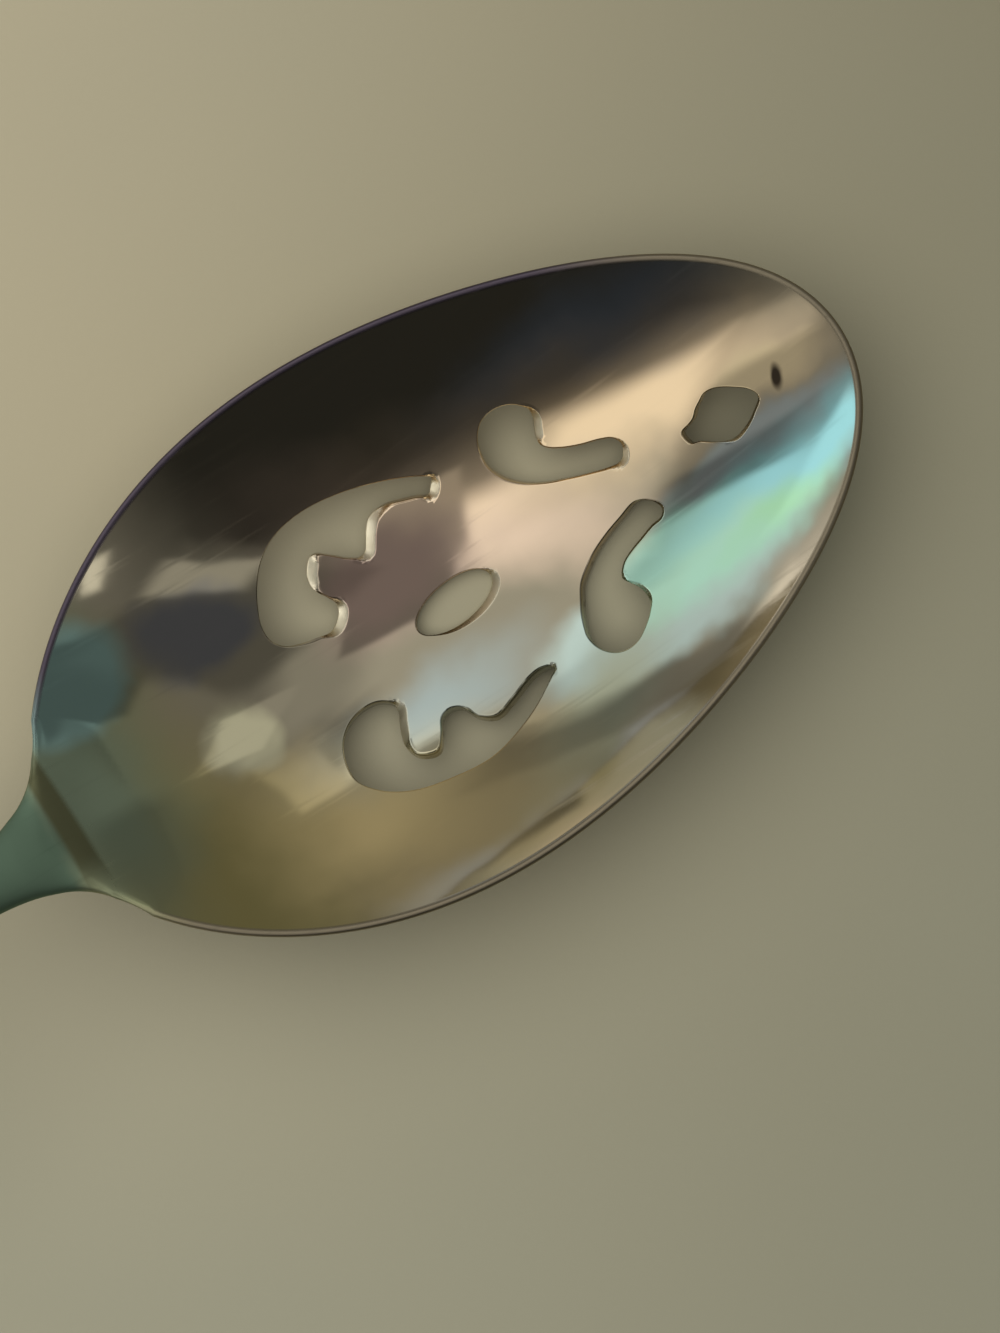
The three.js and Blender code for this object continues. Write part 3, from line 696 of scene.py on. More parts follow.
def made(name, base, tree, sizes=None):
    """An object with the plain mesh that a tree makes of a base mesh."""
    worked = bpy.data.objects.new(name, base)
    bpy.context.scene.collection.objects.link(worked)
    modifier = worked.modifiers.new(tree.name, "NODES")
    modifier.node_group = tree
    for item in tree.interface.items_tree:
        if item.in_out == "INPUT" and item.name in (sizes or {}):
            modifier[item.identifier] = sizes[item.name]
    graph = bpy.context.evaluated_depsgraph_get()
    mesh = bpy.data.meshes.new_from_object(worked.evaluated_get(graph), preserve_all_data_layers=True,
                                           depsgraph=graph)
    worked.modifiers.clear()
    worked.data = mesh
    mesh.name = name
    return worked


def in_metres(tree, shape, material):
    """The end of a piece's tree: metres, plain mesh and material."""
    scaled = add(tree, "GeometryNodeTransform", {"Geometry": shape, "Scale": (MM, MM, MM)})
    smooth = add(tree, "GeometryNodeSetShadeSmooth", {"Geometry": scaled})
    plain = add(tree, "GeometryNodeRealizeInstances", {"Geometry": smooth})
    faced = add(tree, "GeometryNodeSetMaterial", {"Geometry": plain, "Material": material})
    close_tree(tree, faced.outputs[0])


def on_table(tree, shape):
    """Flattens what would sink below the table, where use has worn it."""
    place = add(tree, "ShaderNodeSeparateXYZ", {0: add(tree, "GeometryNodeInputPosition")})
    level = add(tree, "ShaderNodeMath", {0: place.outputs["Z"], 1: 0.0}, operation="MAXIMUM")
    target = add(tree, "ShaderNodeCombineXYZ",
                 {"X": place.outputs["X"], "Y": place.outputs["Y"], "Z": level})
    return add(tree, "GeometryNodeSetPosition", {"Geometry": shape, "Position": target})


def wall_of_sheet(tree, size):
    """Thickness of the wall at each point of a pressed sheet, and the direction square to it."""
    reach = add(tree, "GeometryNodeInputNamedAttribute", {"Name": "reach"}, data_type="FLOAT")
    thickness = add(tree, "ShaderNodeMapRange",
                    {"Value": reach, "From Min": size["Lip taper"], "From Max": 1.0,
                     "To Min": size["Wall"], "To Max": size["Lip wall"]},
                    interpolation_type="SMOOTHSTEP")
    square = add(tree, "GeometryNodeInputNamedAttribute", {"Name": "square"},
                 data_type="FLOAT_VECTOR")
    return thickness, square


def bowl_tree():
    """The pressed bowl: one wall thick, with its edges rounded."""
    tree, size = new_tree("bowl wall", {
        "Blank": "NodeSocketGeometry", "Wall": float(BOWL_WALL), "Lip wall": float(LIP_WALL),
        "Lip taper": float(LIP_TAPER)})
    sheet = add(tree, "GeometryNodeGroup", {"Blank": size["Blank"]}, node_tree=PRESS)
    thickness, square = wall_of_sheet(tree, size)
    drop = add(tree, "GeometryNodeInputNamedAttribute", {"Name": "drop"}, data_type="FLOAT")
    under_drop = add(tree, "GeometryNodeInputNamedAttribute", {"Name": "under_drop"},
                     data_type="FLOAT")
    high = add(tree, "ShaderNodeMath", {0: thickness, 1: drop}, operation="SUBTRACT")
    under = add(tree, "ShaderNodeVectorMath", {0: square, "Scale": under_drop}, operation="SCALE")
    over = add(tree, "ShaderNodeVectorMath", {0: square, "Scale": high}, operation="SCALE")
    wall = add(tree, "GeometryNodeGroup", {"Sheet": sheet, "Low": under, "High": over},
               node_tree=THICKEN)
    close_tree(tree, wall.outputs[0])
    return tree


def hollow_tree():
    """What lies above the hollow's face near the heel."""
    tree, size = new_tree("hollow", {
        "Blank": "NodeSocketGeometry", "Wall": float(BOWL_WALL - HOLLOW_OVERLAP),
        "Lip wall": float(LIP_WALL - HOLLOW_OVERLAP), "Lip taper": float(LIP_TAPER),
        "Headroom": float(HEADROOM)})
    sheet = add(tree, "GeometryNodeGroup", {"Blank": size["Blank"]}, node_tree=PRESS)
    thickness, square = wall_of_sheet(tree, size)
    face = add(tree, "ShaderNodeVectorMath", {0: square, "Scale": thickness}, operation="SCALE")
    up = add(tree, "ShaderNodeCombineXYZ", {"Z": size["Headroom"]})
    top = add(tree, "ShaderNodeVectorMath", {0: face, 1: up}, operation="ADD")
    space = add(tree, "GeometryNodeGroup", {"Sheet": sheet, "Low": face, "High": top},
                node_tree=THICKEN)
    close_tree(tree, space.outputs[0])
    return tree


def bar_tree():
    tree, size = new_tree("bar", {"Stations": "NodeSocketGeometry", "Sides": NECK_SIDES})
    bar = add(tree, "GeometryNodeGroup", {name: size[name] for name in ("Stations", "Sides")},
              node_tree=LOFT)
    close_tree(tree, bar.outputs[0])
    return tree


def forging_tree(material):
    """Joins the neck to the bowl, opens the hollow into it and blends the joint."""
    tree, size = new_tree("forging", {
        "Bowl": "NodeSocketGeometry", "Neck": "NodeSocketObject", "Hollow": "NodeSocketObject",
        "Softening": float(HEEL_SOFTENING), "Passes": HEEL_PASSES})
    neck = add(tree, "GeometryNodeObjectInfo", {"Object": size["Neck"]})
    hollow = add(tree, "GeometryNodeObjectInfo", {"Object": size["Hollow"]})
    opened = add(tree, "GeometryNodeMeshBoolean",
                 {"Mesh 1": neck.outputs["Geometry"], "Mesh 2": hollow.outputs["Geometry"]},
                 operation="DIFFERENCE", solver="EXACT")
    joined = add(tree, "GeometryNodeMeshBoolean", operation="UNION", solver="EXACT")
    tree.links.new(size["Bowl"], joined.inputs["Mesh 2"])
    tree.links.new(opened.outputs["Mesh"], joined.inputs["Mesh 2"])
    facets = add(tree, "GeometryNodeTriangulate", {"Mesh": joined.outputs["Mesh"]})
    corners = tree.nodes.new("GeometryNodeJoinGeometry")
    for cut in (opened, joined):
        edges = add(tree, "GeometryNodeSeparateGeometry",
                    {"Geometry": cut.outputs["Mesh"], "Selection": cut.outputs["Intersecting Edges"]},
                    domain="EDGE")
        tree.links.new(edges.outputs[0], corners.inputs[0])
    close_by = add(tree, "GeometryNodeProximity", {0: corners}, target_element="EDGES")
    weight = add(tree, "ShaderNodeMapRange",
                 {"Value": close_by.outputs["Distance"], "From Max": size["Softening"],
                  "To Min": 1.0, "To Max": 0.0}, interpolation_type="SMOOTHSTEP")
    place = add(tree, "GeometryNodeInputPosition")
    hammered = add(tree, "GeometryNodeBlurAttribute",
                   {"Value": place, "Iterations": size["Passes"], "Weight": weight},
                   data_type="FLOAT_VECTOR")
    blended = add(tree, "GeometryNodeSetPosition", {"Geometry": facets, "Position": hammered})
    in_metres(tree, on_table(tree, blended), material)
    return tree


def mark_edges(mesh):
    """Marks the points on the openings' worn edges, by how worn they are, which is where their
    painted highlight goes, and those on the lip, which carry its painted reflections.
    """
    points = np.array([tuple(v.co) for v in mesh.vertices]) / MM
    marks = {"worn": np.zeros(len(points)), "lip": np.zeros(len(points))}
    rim = rim_outline()
    on_lip = eased((rim[:, 0] - HEEL_X - LIP_START[0]) / (LIP_START[1] - LIP_START[0]))
    edges = [("lip", rim, np.full(len(rim), LIP_ROLL + EDGE_FADE), on_lip)]
    edges += [("worn", hole, edge_width(hole), worn_and_lit_share(hole)) for hole in sawn_outlines()]
    for name, outline, width, share in edges:
        x, y = outline.T
        foot = np.stack([x, y, TIP_LEVEL + above_tip(x, y)], axis=1)
        up = square_to_wall(x, y) * wall_at(x, y)[:, None]
        cut = np.concatenate([foot + level * up for level in np.linspace(0, 1, CUT_LEVELS)])
        low, high = cut.min(0) - 1, cut.max(0) + 1
        near = np.flatnonzero(((points > low) & (points < high)).all(1))
        gap, place = closest(points[near], cut)
        place %= len(outline)
        shown = share[place] * eased((width[place] + EDGE_MARGIN - gap) / EDGE_FADE)
        marks[name][near] = np.maximum(marks[name][near], shown)
    mark(mesh, marks)


def forge_bowl(material):
    """Bowl, neck and tang in one, with the neck's bar closed to a point at both ends."""
    front, root, end = HEEL_X + NECK_INSIDE, HEEL_X - FLARE_ZONE, COLLAR_X - TANG_LENGTH
    x = np.concatenate([
        [front], np.arange(front, root, -FLARE_SPACING), np.arange(root, COLLAR_X, -NECK_SPACING),
        np.linspace(COLLAR_X, end, TANG_STATIONS), [end]])
    half, above, below = neck_section(x)
    for pole in (0, -1):
        half[pole], above[pole], below[pole] = 0, 0, 0
    neck = made("neck", stations("neck", x, half, above, below), bar_tree())
    hollow = made("hollow", hollow_blank(), hollow_tree())
    plate = made("bowl_wall", bowl_blank(), bowl_tree())
    sizes = {"Neck": neck, "Hollow": hollow}
    forging = made("bowl_forging", plate.data, forging_tree(material), sizes)
    mark_edges(forging.data)
    for helper in (neck, hollow, plate):
        bpy.data.objects.remove(helper)
    return forging


def make_collar(material):
    """The collar as one turned ring: out over its beads and back through its bore."""
    share = np.linspace(0, 1, BEAD_STATIONS)
    wave = np.abs(np.sin(share * 2 * math.pi))
    proud = COLLAR_PROUD - COLLAR_GROOVE * (1 - np.sqrt(wave))
    out_x = COLLAR_X - share * COLLAR_LENGTH
    in_x = np.linspace(MOUTH_X, COLLAR_X, BORE_STATIONS)
    bore = neck_section(np.minimum(in_x, COLLAR_X - SAME_POINT), FIT_GAP)
    x = np.concatenate([out_x, in_x, out_x[:1]])
    half, above, below = (
        np.concatenate([size / 2 + proud, inside, size / 2 + proud[:1]])
        for size, inside in zip((MOUTH_WIDTH, MOUTH_HEIGHT, MOUTH_HEIGHT), bore))
    tree, size = new_tree("turned collar", {"Stations": "NodeSocketGeometry", "Sides": COLLAR_SIDES})
    ring = add(tree, "GeometryNodeGroup", {name: size[name] for name in ("Stations", "Sides")},
               node_tree=LOFT)
    in_metres(tree, ring, material)
    return made("collar", stations("collar", x, half, above, below), tree)


def shell_tree(material):
    """One stamped shell of the handle: half of a loft, one wall thick."""
    tree, size = new_tree("stamped shell", {
        "Stations": "NodeSocketGeometry", "Sides": HANDLE_SIDES, "First turn": 0.0, "Last turn": 0.5,
        "Wall": float(SHELL_WALL), "Shift": 0.0})
    curve = {name: size[name] for name in ("Stations", "Sides", "First turn", "Last turn")}
    sheet = add(tree, "GeometryNodeGroup", curve, node_tree=LOFT)
    kept = add(tree, "GeometryNodeStoreNamedAttribute",
               {"Geometry": sheet, "Name": "square", "Value": add(tree, "GeometryNodeInputNormal")},
               data_type="FLOAT_VECTOR", domain="POINT")
    square = add(tree, "GeometryNodeInputNamedAttribute", {"Name": "square"},
                 data_type="FLOAT_VECTOR")
    inward = add(tree, "ShaderNodeMath", {0: size["Wall"], 1: -1.0}, operation="MULTIPLY")
    lift = add(tree, "ShaderNodeCombineXYZ", {"Z": size["Shift"]})
    inside = add(tree, "ShaderNodeVectorMath", {0: square, "Scale": inward}, operation="SCALE")
    low = add(tree, "ShaderNodeVectorMath", {0: inside, 1: lift}, operation="ADD")
    wall = add(tree, "GeometryNodeGroup", {"Sheet": kept, "Low": low, "High": lift},
               node_tree=THICKEN)
    in_metres(tree, on_table(tree, wall), material)
    return tree


def make_shell(name, side, tree):
    """One shell of the handle, the front one with side 1 and the back one with side -1."""
    round_share = np.sin(np.linspace(0, math.pi / 2, BUTT_STATIONS))[1:]
    x = np.concatenate([np.linspace(MOUTH_X - FIT_GAP, ROUND_X, HANDLE_STATIONS),
                        ROUND_X - END_ROUND * round_share])
    half = handle_half(x, MOUTH_WIDTH, WAIST_WIDTH, BROAD_WIDTH)
    tall = handle_half(x, MOUTH_HEIGHT, WAIST_HEIGHT, BROAD_HEIGHT)
    first = 0.0 if side > 0 else 0.5
    return made(name, stations(name, x, half, tall, tall), tree,
                {"First turn": first, "Last turn": first + 0.5, "Shift": side * SEAM_GAP / 2})


def new_material(name, colour, metallic, roughness):
    material = bpy.data.materials.new(name)
    material.use_nodes = True
    shader = material.node_tree.nodes["Principled BSDF"]
    shader.inputs["Base Color"].default_value = linear(colour)
    shader.inputs["Metallic"].default_value = metallic
    shader.inputs["Roughness"].default_value = roughness
    return material


def soft_patch(tree, coordinates, centre, half, turn, soft, is_round=False):
    """1 inside a soft-edged patch and 0 outside it. soft is the share of its size that fades."""
    placed = add(tree, "ShaderNodeMapping",
                 {"Vector": coordinates, "Location": (*centre, 0),
                  "Rotation": (0, 0, math.radians(turn)), "Scale": (*half, 1)},
                 vector_type="TEXTURE")
    if is_round:
        away = add(tree, "ShaderNodeVectorMath", {0: placed}, operation="LENGTH").outputs["Value"]
    else:
        size = add(tree, "ShaderNodeVectorMath", {0: placed}, operation="ABSOLUTE")
        parts = add(tree, "ShaderNodeSeparateXYZ", {0: size})
        away = add(tree, "ShaderNodeMath", {0: parts.outputs["X"], 1: parts.outputs["Y"]},
                   operation="MAXIMUM")
    return add(tree, "ShaderNodeMapRange",
               {"Value": away, "From Min": 1 + soft, "From Max": 1 - soft},
               interpolation_type="SMOOTHSTEP")


def layered(tree, ground, layers):
    """A ground colour with others laid over it, each where its mask says."""
    colour = add(tree, "ShaderNodeRGB").outputs[0]
    colour.default_value = ground
    for mask, over in layers:
        colour = add(tree, "ShaderNodeMix", {"Factor": mask, "A": colour, "B": over},
                     data_type="RGBA").outputs[2]
    return colour


# The tarnish film on the bowl, with painted reflections: each colour is partly the film's tint and
# partly the hue of what the mirror sees there, painted on. Where each colour lies, from the bowl's
# centre in millimetres along and across, with its half lengths, its turn in degrees and its fade.
# Later colours lie over earlier ones.
FILM_AND_PAINTED_REFLECTIONS = [
    ("blue on the upper wall", (18.4, 10.1), (12.3, 4.6), 0, 0.7, "#ABBAC9"),
    ("violet", (-19.4, 9.3), (5.4, 3.4), -5, 0.34, "#787776"),
    ("peach", (3.9, 5.9), (13.8, 4.2), -35, 0.7, "#E5CBAF"),
    ("rose", (-4, 4.6), (7, 4.6), 5, 0.45, "#B59C8C"),
    ("honey near the tip", (19.2, 6.6), (17.3, 4.9), -14, 0.7, "#F7DBB0"),
    ("ice blue", (-10.4, -8.1), (11.1, 3.4), 6, 0.7, "#A4B1AC"),
    ("pale side", (15.8, -10.3), (13.5, 4.4), 3, 0.22, "#BBCCC1"),
    ("mint", (22.6, -7.5), (10.9, 4.7), 5, 0.26, "#B7E4CA"),
    ("yellow green in the mint", (29.1, -8.7), (6, 1.2), 16, 0.7, "#B2E6B8"),
    ("slate", (28.7, -3.2), (10.3, 1.5), 0, 0.5, "#A6ACA6"),
    ("sky blue", (35.3, -6.1), (14.8, 2.2), 1, 0.7, "#A4DFE0"),
    ("olive by the stain", (32.6, 0.9), (5.2, 1.9), -4, 0.45, "#E4CFA4"),
    ("moss", (3.3, -17.2), (11.6, 3.4), 30, 0.57, "#B1B59B"),
    ("sand along the lip", (2, -21.5), (18, 2.6), 0, 0.5, "#E0E4DD"),
    ("sand by the tip", (24, -16.8), (12, 2.4), 26, 0.5, "#C2B69D"),
    ("gold", (-23.7, -11.1), (23, 6.5), -17, 0.7, "#F7DE9E"),
    ("olive", (-30.2, -7.9), (8.5, 27.9), 16, 0.7, "#9A8F5C"),
    ("sea green", (-33.2, 5), (6, 14.7), -3, 0.7, "#818E75"),
    ("teal", (-29.7, 10.2), (4.6, 3.6), 10, 0.3, "#8EACA1"),
    ("sage by the window", (-21.1, -0.6), (2.5, 3.1), -6, 0.32, "#BCB695"),
    ("sea green on the neck", (-57, 0), (21.5, 14), 0, 0.05, "#687D68"),
    ("dark stain", (33.2, -0.3), (0.95, 0.55), 60, 0.35, "#4A4033"),
]
FILM_BASE = "#958D77"
HEEL_BEND_SHADE = ((-35.6, 1.6), (0.85, 5.6), 0, 0.35, "#65664A")  # painted shade in the bend where the heel turns into the neck
WATER_SPOT = "#C4BCA4"
# Bare worn silver, and the painted highlight on the edges' lit side
WORN_SILVER_HIGHLIGHT = "#FAF0D2"
# Painted reflections on the lip: dark on its left side, paler tan on its right
LIP_LEFT_REFLECTION = "#5C535C"
LIP_RIGHT_REFLECTION = "#857B66"
LIP_SIDES = (3, -9)  # where across the bowl the lip's left colour gives way to its right one
LIP_TURN = (20, 32)  # and where ahead of the bowl's centre
LIP_START = (1, 7)  # where ahead of the heel the lip's look begins and is full
FILM_AND_REFLECTION_DRIFT = 6  # how widely the film's colours and painted reflections stray
POLISH = (0.07, 0.16)  # roughness of the polish and of its hairlines
EDGE_DULLNESS = 0.3  # more roughness on the lip and the worn edges
NECK_DULLNESS = 0.5  # more roughness on the neck, which is seldom rubbed
NECK_FADE = (6, -2)  # where ahead of the heel that begins and is full


def from_bowl_centre(tree, place):
    """Coordinates in millimetres from the bowl's centre."""
    return add(tree, "ShaderNodeMapping",
               {"Vector": place, "Location": (CENTRE_X * MM, 0, 0), "Scale": (MM, MM, 1)},
               vector_type="TEXTURE")


def film_and_painted_light_layers(tree, place):
    """What lies on the silver, lowest first: film with painted reflections, water spots
    and painted shade in the heel's bend.
    """
    noise = add(tree, "ShaderNodeTexNoise", {"Vector": place, "Scale": 110.0, "Detail": 3.0})
    drift = add(tree, "ShaderNodeVectorMath", {0: noise.outputs["Color"], 1: (-0.5, -0.5, -0.5)},
                operation="ADD")
    stray = FILM_AND_REFLECTION_DRIFT * MM
    wandered = add(tree, "ShaderNodeVectorMath", {0: drift, 1: (stray, stray, 0.0), 2: place},
                   operation="MULTIPLY_ADD")
    strayed = from_bowl_centre(tree, wandered)
    # The film's colours, with the painted reflections in them
    layers = [(soft_patch(tree, strayed, *patch, is_round=True), linear(code))
              for _, *patch, code in FILM_AND_PAINTED_REFLECTIONS]

    # Water spots a millimetre and more across, dried on the film
    cells = add(tree, "ShaderNodeTexVoronoi", {"Vector": place, "Scale": 75.0})
    spot = add(tree, "ShaderNodeMapRange",
               {"Value": cells.outputs["Distance"], "From Min": 0.075, "From Max": 0.05,
                "To Min": 0.0, "To Max": 0.22}, interpolation_type="SMOOTHSTEP")
    # Painted shade in the bend of the heel
    *bend, code = HEEL_BEND_SHADE
    bend_shade = soft_patch(tree, from_bowl_centre(tree, place), *bend)
    return layers + [(spot, linear(WATER_SPOT)), (bend_shade, linear(code))]


def lip_colour(tree, parts):
    """The lip's colour, a painted reflection: dark on its left side and paler tan on its right."""
    right = add(tree, "ShaderNodeMapRange",
                {"Value": parts.outputs["Y"], "From Min": LIP_SIDES[0] * MM,
                 "From Max": LIP_SIDES[1] * MM}, interpolation_type="SMOOTHSTEP")
    ahead = add(tree, "ShaderNodeMapRange",
                {"Value": parts.outputs["X"], "From Min": (CENTRE_X + LIP_TURN[0]) * MM,
                 "From Max": (CENTRE_X + LIP_TURN[1]) * MM}, interpolation_type="SMOOTHSTEP")
    either = add(tree, "ShaderNodeMath", {0: right, 1: ahead}, operation="MAXIMUM")
    return layered(tree, linear(LIP_LEFT_REFLECTION), [(either, linear(LIP_RIGHT_REFLECTION))])


def tarnished_silver_with_painted_light():
    """Sterling silver, struck and polished with rouge until it mirrors, under a tarnish film.

    The film is far thinner than a hair, and its thickness shows as drifting bands of colour, into
    which the hues of what the metal mirrors are painted as reflections. The worn edges of the
    openings are bright, and painted as a highlight on the side that faces the light. The lip carries
    painted reflections and the heel's bend painted shade. The hammered sheet is never quite true,
    which makes the reflections waver.
    """
    material = new_material("polished_silver_with_tarnish_film_and_painted_light", FILM_BASE, 1, POLISH[0])
    tree = material.node_tree
    shader = tree.nodes["Principled BSDF"]
    place = add(tree, "ShaderNodeTexCoord").outputs["Object"]
    parts = add(tree, "ShaderNodeSeparateXYZ", {0: place})
    lip = add(tree, "ShaderNodeAttribute", attribute_name="lip").outputs["Fac"]
    worn = add(tree, "ShaderNodeAttribute", attribute_name="worn").outputs["Fac"]
    layers = film_and_painted_light_layers(tree, place)
    # The lip's painted reflections, and the worn edges' bright silver with a painted highlight on
    # their lit side
    layers += [(lip, lip_colour(tree, parts)), (worn, linear(WORN_SILVER_HIGHLIGHT))]
    tree.links.new(layered(tree, linear(FILM_BASE), layers), shader.inputs["Base Color"])

    # Wear from spoons and cloths: hairlines, drawn wider than they are so that they show
    laid = add(tree, "ShaderNodeMapping", {"Vector": place, "Rotation": (0, 0, math.radians(24)),
                                           "Scale": (70, 1500, 70)})
    hairs = add(tree, "ShaderNodeTexNoise", {"Vector": laid, "Scale": 1.0, "Detail": 2.0})
    hair = add(tree, "ShaderNodeMapRange",
               {"Value": hairs.outputs["Fac"], "From Min": 0.58, "From Max": 0.72,
                "To Min": POLISH[0], "To Max": POLISH[1]})
    dull = add(tree, "ShaderNodeMapRange",
               {"Value": parts.outputs["X"], "From Min": (HEEL_X + NECK_FADE[0]) * MM,
                "From Max": (HEEL_X + NECK_FADE[1]) * MM, "To Min": 0.0, "To Max": NECK_DULLNESS},
               interpolation_type="SMOOTHSTEP")
    rough = hair
    for edge in (worn, lip):
        rough = add(tree, "ShaderNodeMath", {0: edge, 1: EDGE_DULLNESS, 2: rough},
                    operation="MULTIPLY_ADD")
    rough = add(tree, "ShaderNodeMath", {0: rough, 1: dull}, operation="ADD")
    tree.links.new(rough.outputs[0], shader.inputs["Roughness"])
    wave = add(tree, "ShaderNodeTexNoise", {"Vector": place, "Scale": 120.0, "Detail": 1.0})
    wavy = add(tree, "ShaderNodeBump", {"Height": wave.outputs["Fac"], "Strength": 1.0,
                                        "Distance": 0.08 * MM})
    tree.links.new(wavy.outputs[0], shader.inputs["Normal"])
    return material


def bright_silver(name, lay):
    """Silver that is handled and rubbed: hairlines along the piece and a faint warm tarnish.

    lay says how far the marks are drawn out along X, Y and Z, as marks per metre.
    """
    material = new_material(name, "#DAD6CC", 1, 0.16)
    tree = material.node_tree
    shader = tree.nodes["Principled BSDF"]
    place = add(tree, "ShaderNodeTexCoord").outputs["Object"]
    bloom = add(tree, "ShaderNodeTexNoise", {"Vector": place, "Scale": 55.0, "Detail": 4.0})
    share = add(tree, "ShaderNodeMapRange",
                {"Value": bloom.outputs["Fac"], "From Min": 0.42, "From Max": 0.66})
    colour = add(tree, "ShaderNodeMix",
                 {"Factor": share, "A": linear("#DDDAD1"), "B": linear("#C3B89B")}, data_type="RGBA")
    tree.links.new(colour.outputs[2], shader.inputs["Base Color"])
    laid = add(tree, "ShaderNodeMapping", {"Vector": place, "Scale": lay})
    hairs = add(tree, "ShaderNodeTexNoise", {"Vector": laid, "Scale": 1.0, "Detail": 3.0})
    rough = add(tree, "ShaderNodeMapRange",
                {"Value": hairs.outputs["Fac"], "From Min": 0.35, "From Max": 0.7,
                 "To Min": 0.1, "To Max": 0.3})
    tree.links.new(rough.outputs[0], shader.inputs["Roughness"])
    scored = add(tree, "ShaderNodeBump", {"Height": hairs.outputs["Fac"], "Strength": 0.4,
                                          "Distance": 0.02 * MM})
    tree.links.new(scored.outputs[0], shader.inputs["Normal"])
    return material


def set_cement():
    """Cement poured into the handle and set: dull, with grains of filler half a millimetre across."""
    material = new_material("set_cement", "#8D877A", 0, 0.95)
    tree = material.node_tree
    shader = tree.nodes["Principled BSDF"]
    place = add(tree, "ShaderNodeTexCoord").outputs["Object"]
    grain = add(tree, "ShaderNodeTexNoise", {"Vector": place, "Scale": 1900.0, "Detail": 3.0})
    colour = add(tree, "ShaderNodeMix",
                 {"Factor": grain.outputs["Fac"], "A": linear("#6F695E"), "B": linear("#A8A294")},
                 data_type="RGBA")
    tree.links.new(colour.outputs[2], shader.inputs["Base Color"])
    rough = add(tree, "ShaderNodeBump", {"Height": grain.outputs["Fac"], "Strength": 0.8,
                                         "Distance": 0.2 * MM})
    tree.links.new(rough.outputs[0], shader.inputs["Normal"])
    return material


# Table colours: painted light falloff from the lit left to the shaded right, and a grey for faint
# clouds and painted shade towards the bottom
TABLE_LIT_LEFT = "#B0A68A"
TABLE_SHADED_RIGHT = "#7C7760"
TABLE_CLOUD_AND_SHADE_GREY = "#8E8F7D"
TABLE_SPAN = 60  # distance over which its painted light falloff goes from lit to shaded, to each side of the bowl's centre


def painted_table():
    """Satin paint on board, laid on by roller: greige with faint clouds in its tone, and painted
    light falloff, lighter at the left and darker to the right and towards the bottom.
    """
    material = new_material("painted_table", TABLE_CLOUD_AND_SHADE_GREY, 0, 0.75)
    tree = material.node_tree
    shader = tree.nodes["Principled BSDF"]
    place = add(tree, "ShaderNodeTexCoord").outputs["Object"]
    across = add(tree, "ShaderNodeMapping",
                 {"Vector": place, "Location": (CENTRE_X * MM, 0, 0),
                  "Rotation": (0, 0, math.radians(CAMERA_YAW)),
                  "Scale": (TABLE_SPAN * MM, TABLE_SPAN * MM, 1)}, vector_type="TEXTURE")
    parts = add(tree, "ShaderNodeSeparateXYZ", {0: across})
    # Painted light falloff: lighter on the left, darker to the right
    side = add(tree, "ShaderNodeMapRange", {"Value": parts.outputs["X"], "From Min": -1.0,
                                            "From Max": 1.0}, interpolation_type="SMOOTHSTEP")
    clouds = add(tree, "ShaderNodeTexNoise", {"Vector": place, "Scale": 14.0, "Detail": 2.0})
    cloud = add(tree, "ShaderNodeMapRange",
                {"Value": clouds.outputs["Fac"], "From Min": 0.3, "From Max": 0.7,
                 "To Min": 0.0, "To Max": 0.25})
    # Painted shade, darker towards the bottom
    low = add(tree, "ShaderNodeMapRange", {"Value": parts.outputs["Y"], "From Min": 0.2,
                                           "From Max": -1.0, "To Min": 0.0, "To Max": 0.42})
    clouds_and_shade = add(tree, "ShaderNodeMath", {0: cloud, 1: low}, operation="ADD")
    colour = layered(tree, linear(TABLE_LIT_LEFT),
                     [(side, linear(TABLE_SHADED_RIGHT)), (clouds_and_shade, linear(TABLE_CLOUD_AND_SHADE_GREY))])
    tree.links.new(colour, shader.inputs["Base Color"])
    nap = add(tree, "ShaderNodeTexNoise", {"Vector": place, "Scale": 900.0, "Detail": 2.0})
    stipple = add(tree, "ShaderNodeBump", {"Height": nap.outputs["Fac"], "Strength": 0.3,
                                           "Distance": 0.1 * MM})
    tree.links.new(stipple.outputs[0], shader.inputs["Normal"])
    return material


TARNISHED_SILVER_WITH_PAINTED_LIGHT = tarnished_silver_with_painted_light()
STAMPED_SILVER = bright_silver("stamped_silver", (90, 1400, 1400))
TURNED_SILVER = bright_silver("turned_silver", (2600, 260, 260))
CEMENT = set_cement()


def keep_piece(piece, node):
    """Gives a finished piece to the part, in place of one of the solids."""
    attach(piece, "root")
    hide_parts(node)


keep_piece(forge_bowl(TARNISHED_SILVER_WITH_PAINTED_LIGHT), "pierced_bowl")
keep_piece(make_collar(TURNED_SILVER), "handle_collar")
SHELL = shell_tree(STAMPED_SILVER)
keep_piece(make_shell("front_shell", 1, SHELL), "handle_front_shell")
keep_piece(make_shell("back_shell", -1, SHELL), "handle_back_shell")
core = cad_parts["handle_core"]
core.data.materials.clear()
core.data.materials.append(CEMENT)


def make_camera():
    yaw, tilt_x, tilt_y = (math.radians(a) for a in (CAMERA_YAW, CAMERA_TILT_X, CAMERA_TILT_Y))
    tilted = Matrix.Rotation(tilt_y, 3, "Y") @ Matrix.Rotation(tilt_x, 3, "X")
    turned = (tilted @ Matrix.Rotation(-yaw, 3, "Z")).transposed()
    data = bpy.data.cameras.new("camera")
    data.sensor_fit = "VERTICAL"
    data.sensor_height = SENSOR
    data.sensor_width = SENSOR
    data.lens = FOCAL_PIXELS / FRAME_HIGH * SENSOR
    data.clip_start, data.clip_end = CLIPPING
    camera = bpy.data.objects.new("camera", data)
    bpy.context.scene.collection.objects.link(camera)
    camera.matrix_world = Matrix.Translation(Vector(CAMERA_PLACE) * MM) @ turned.to_4x4()
    bpy.context.scene.camera = camera


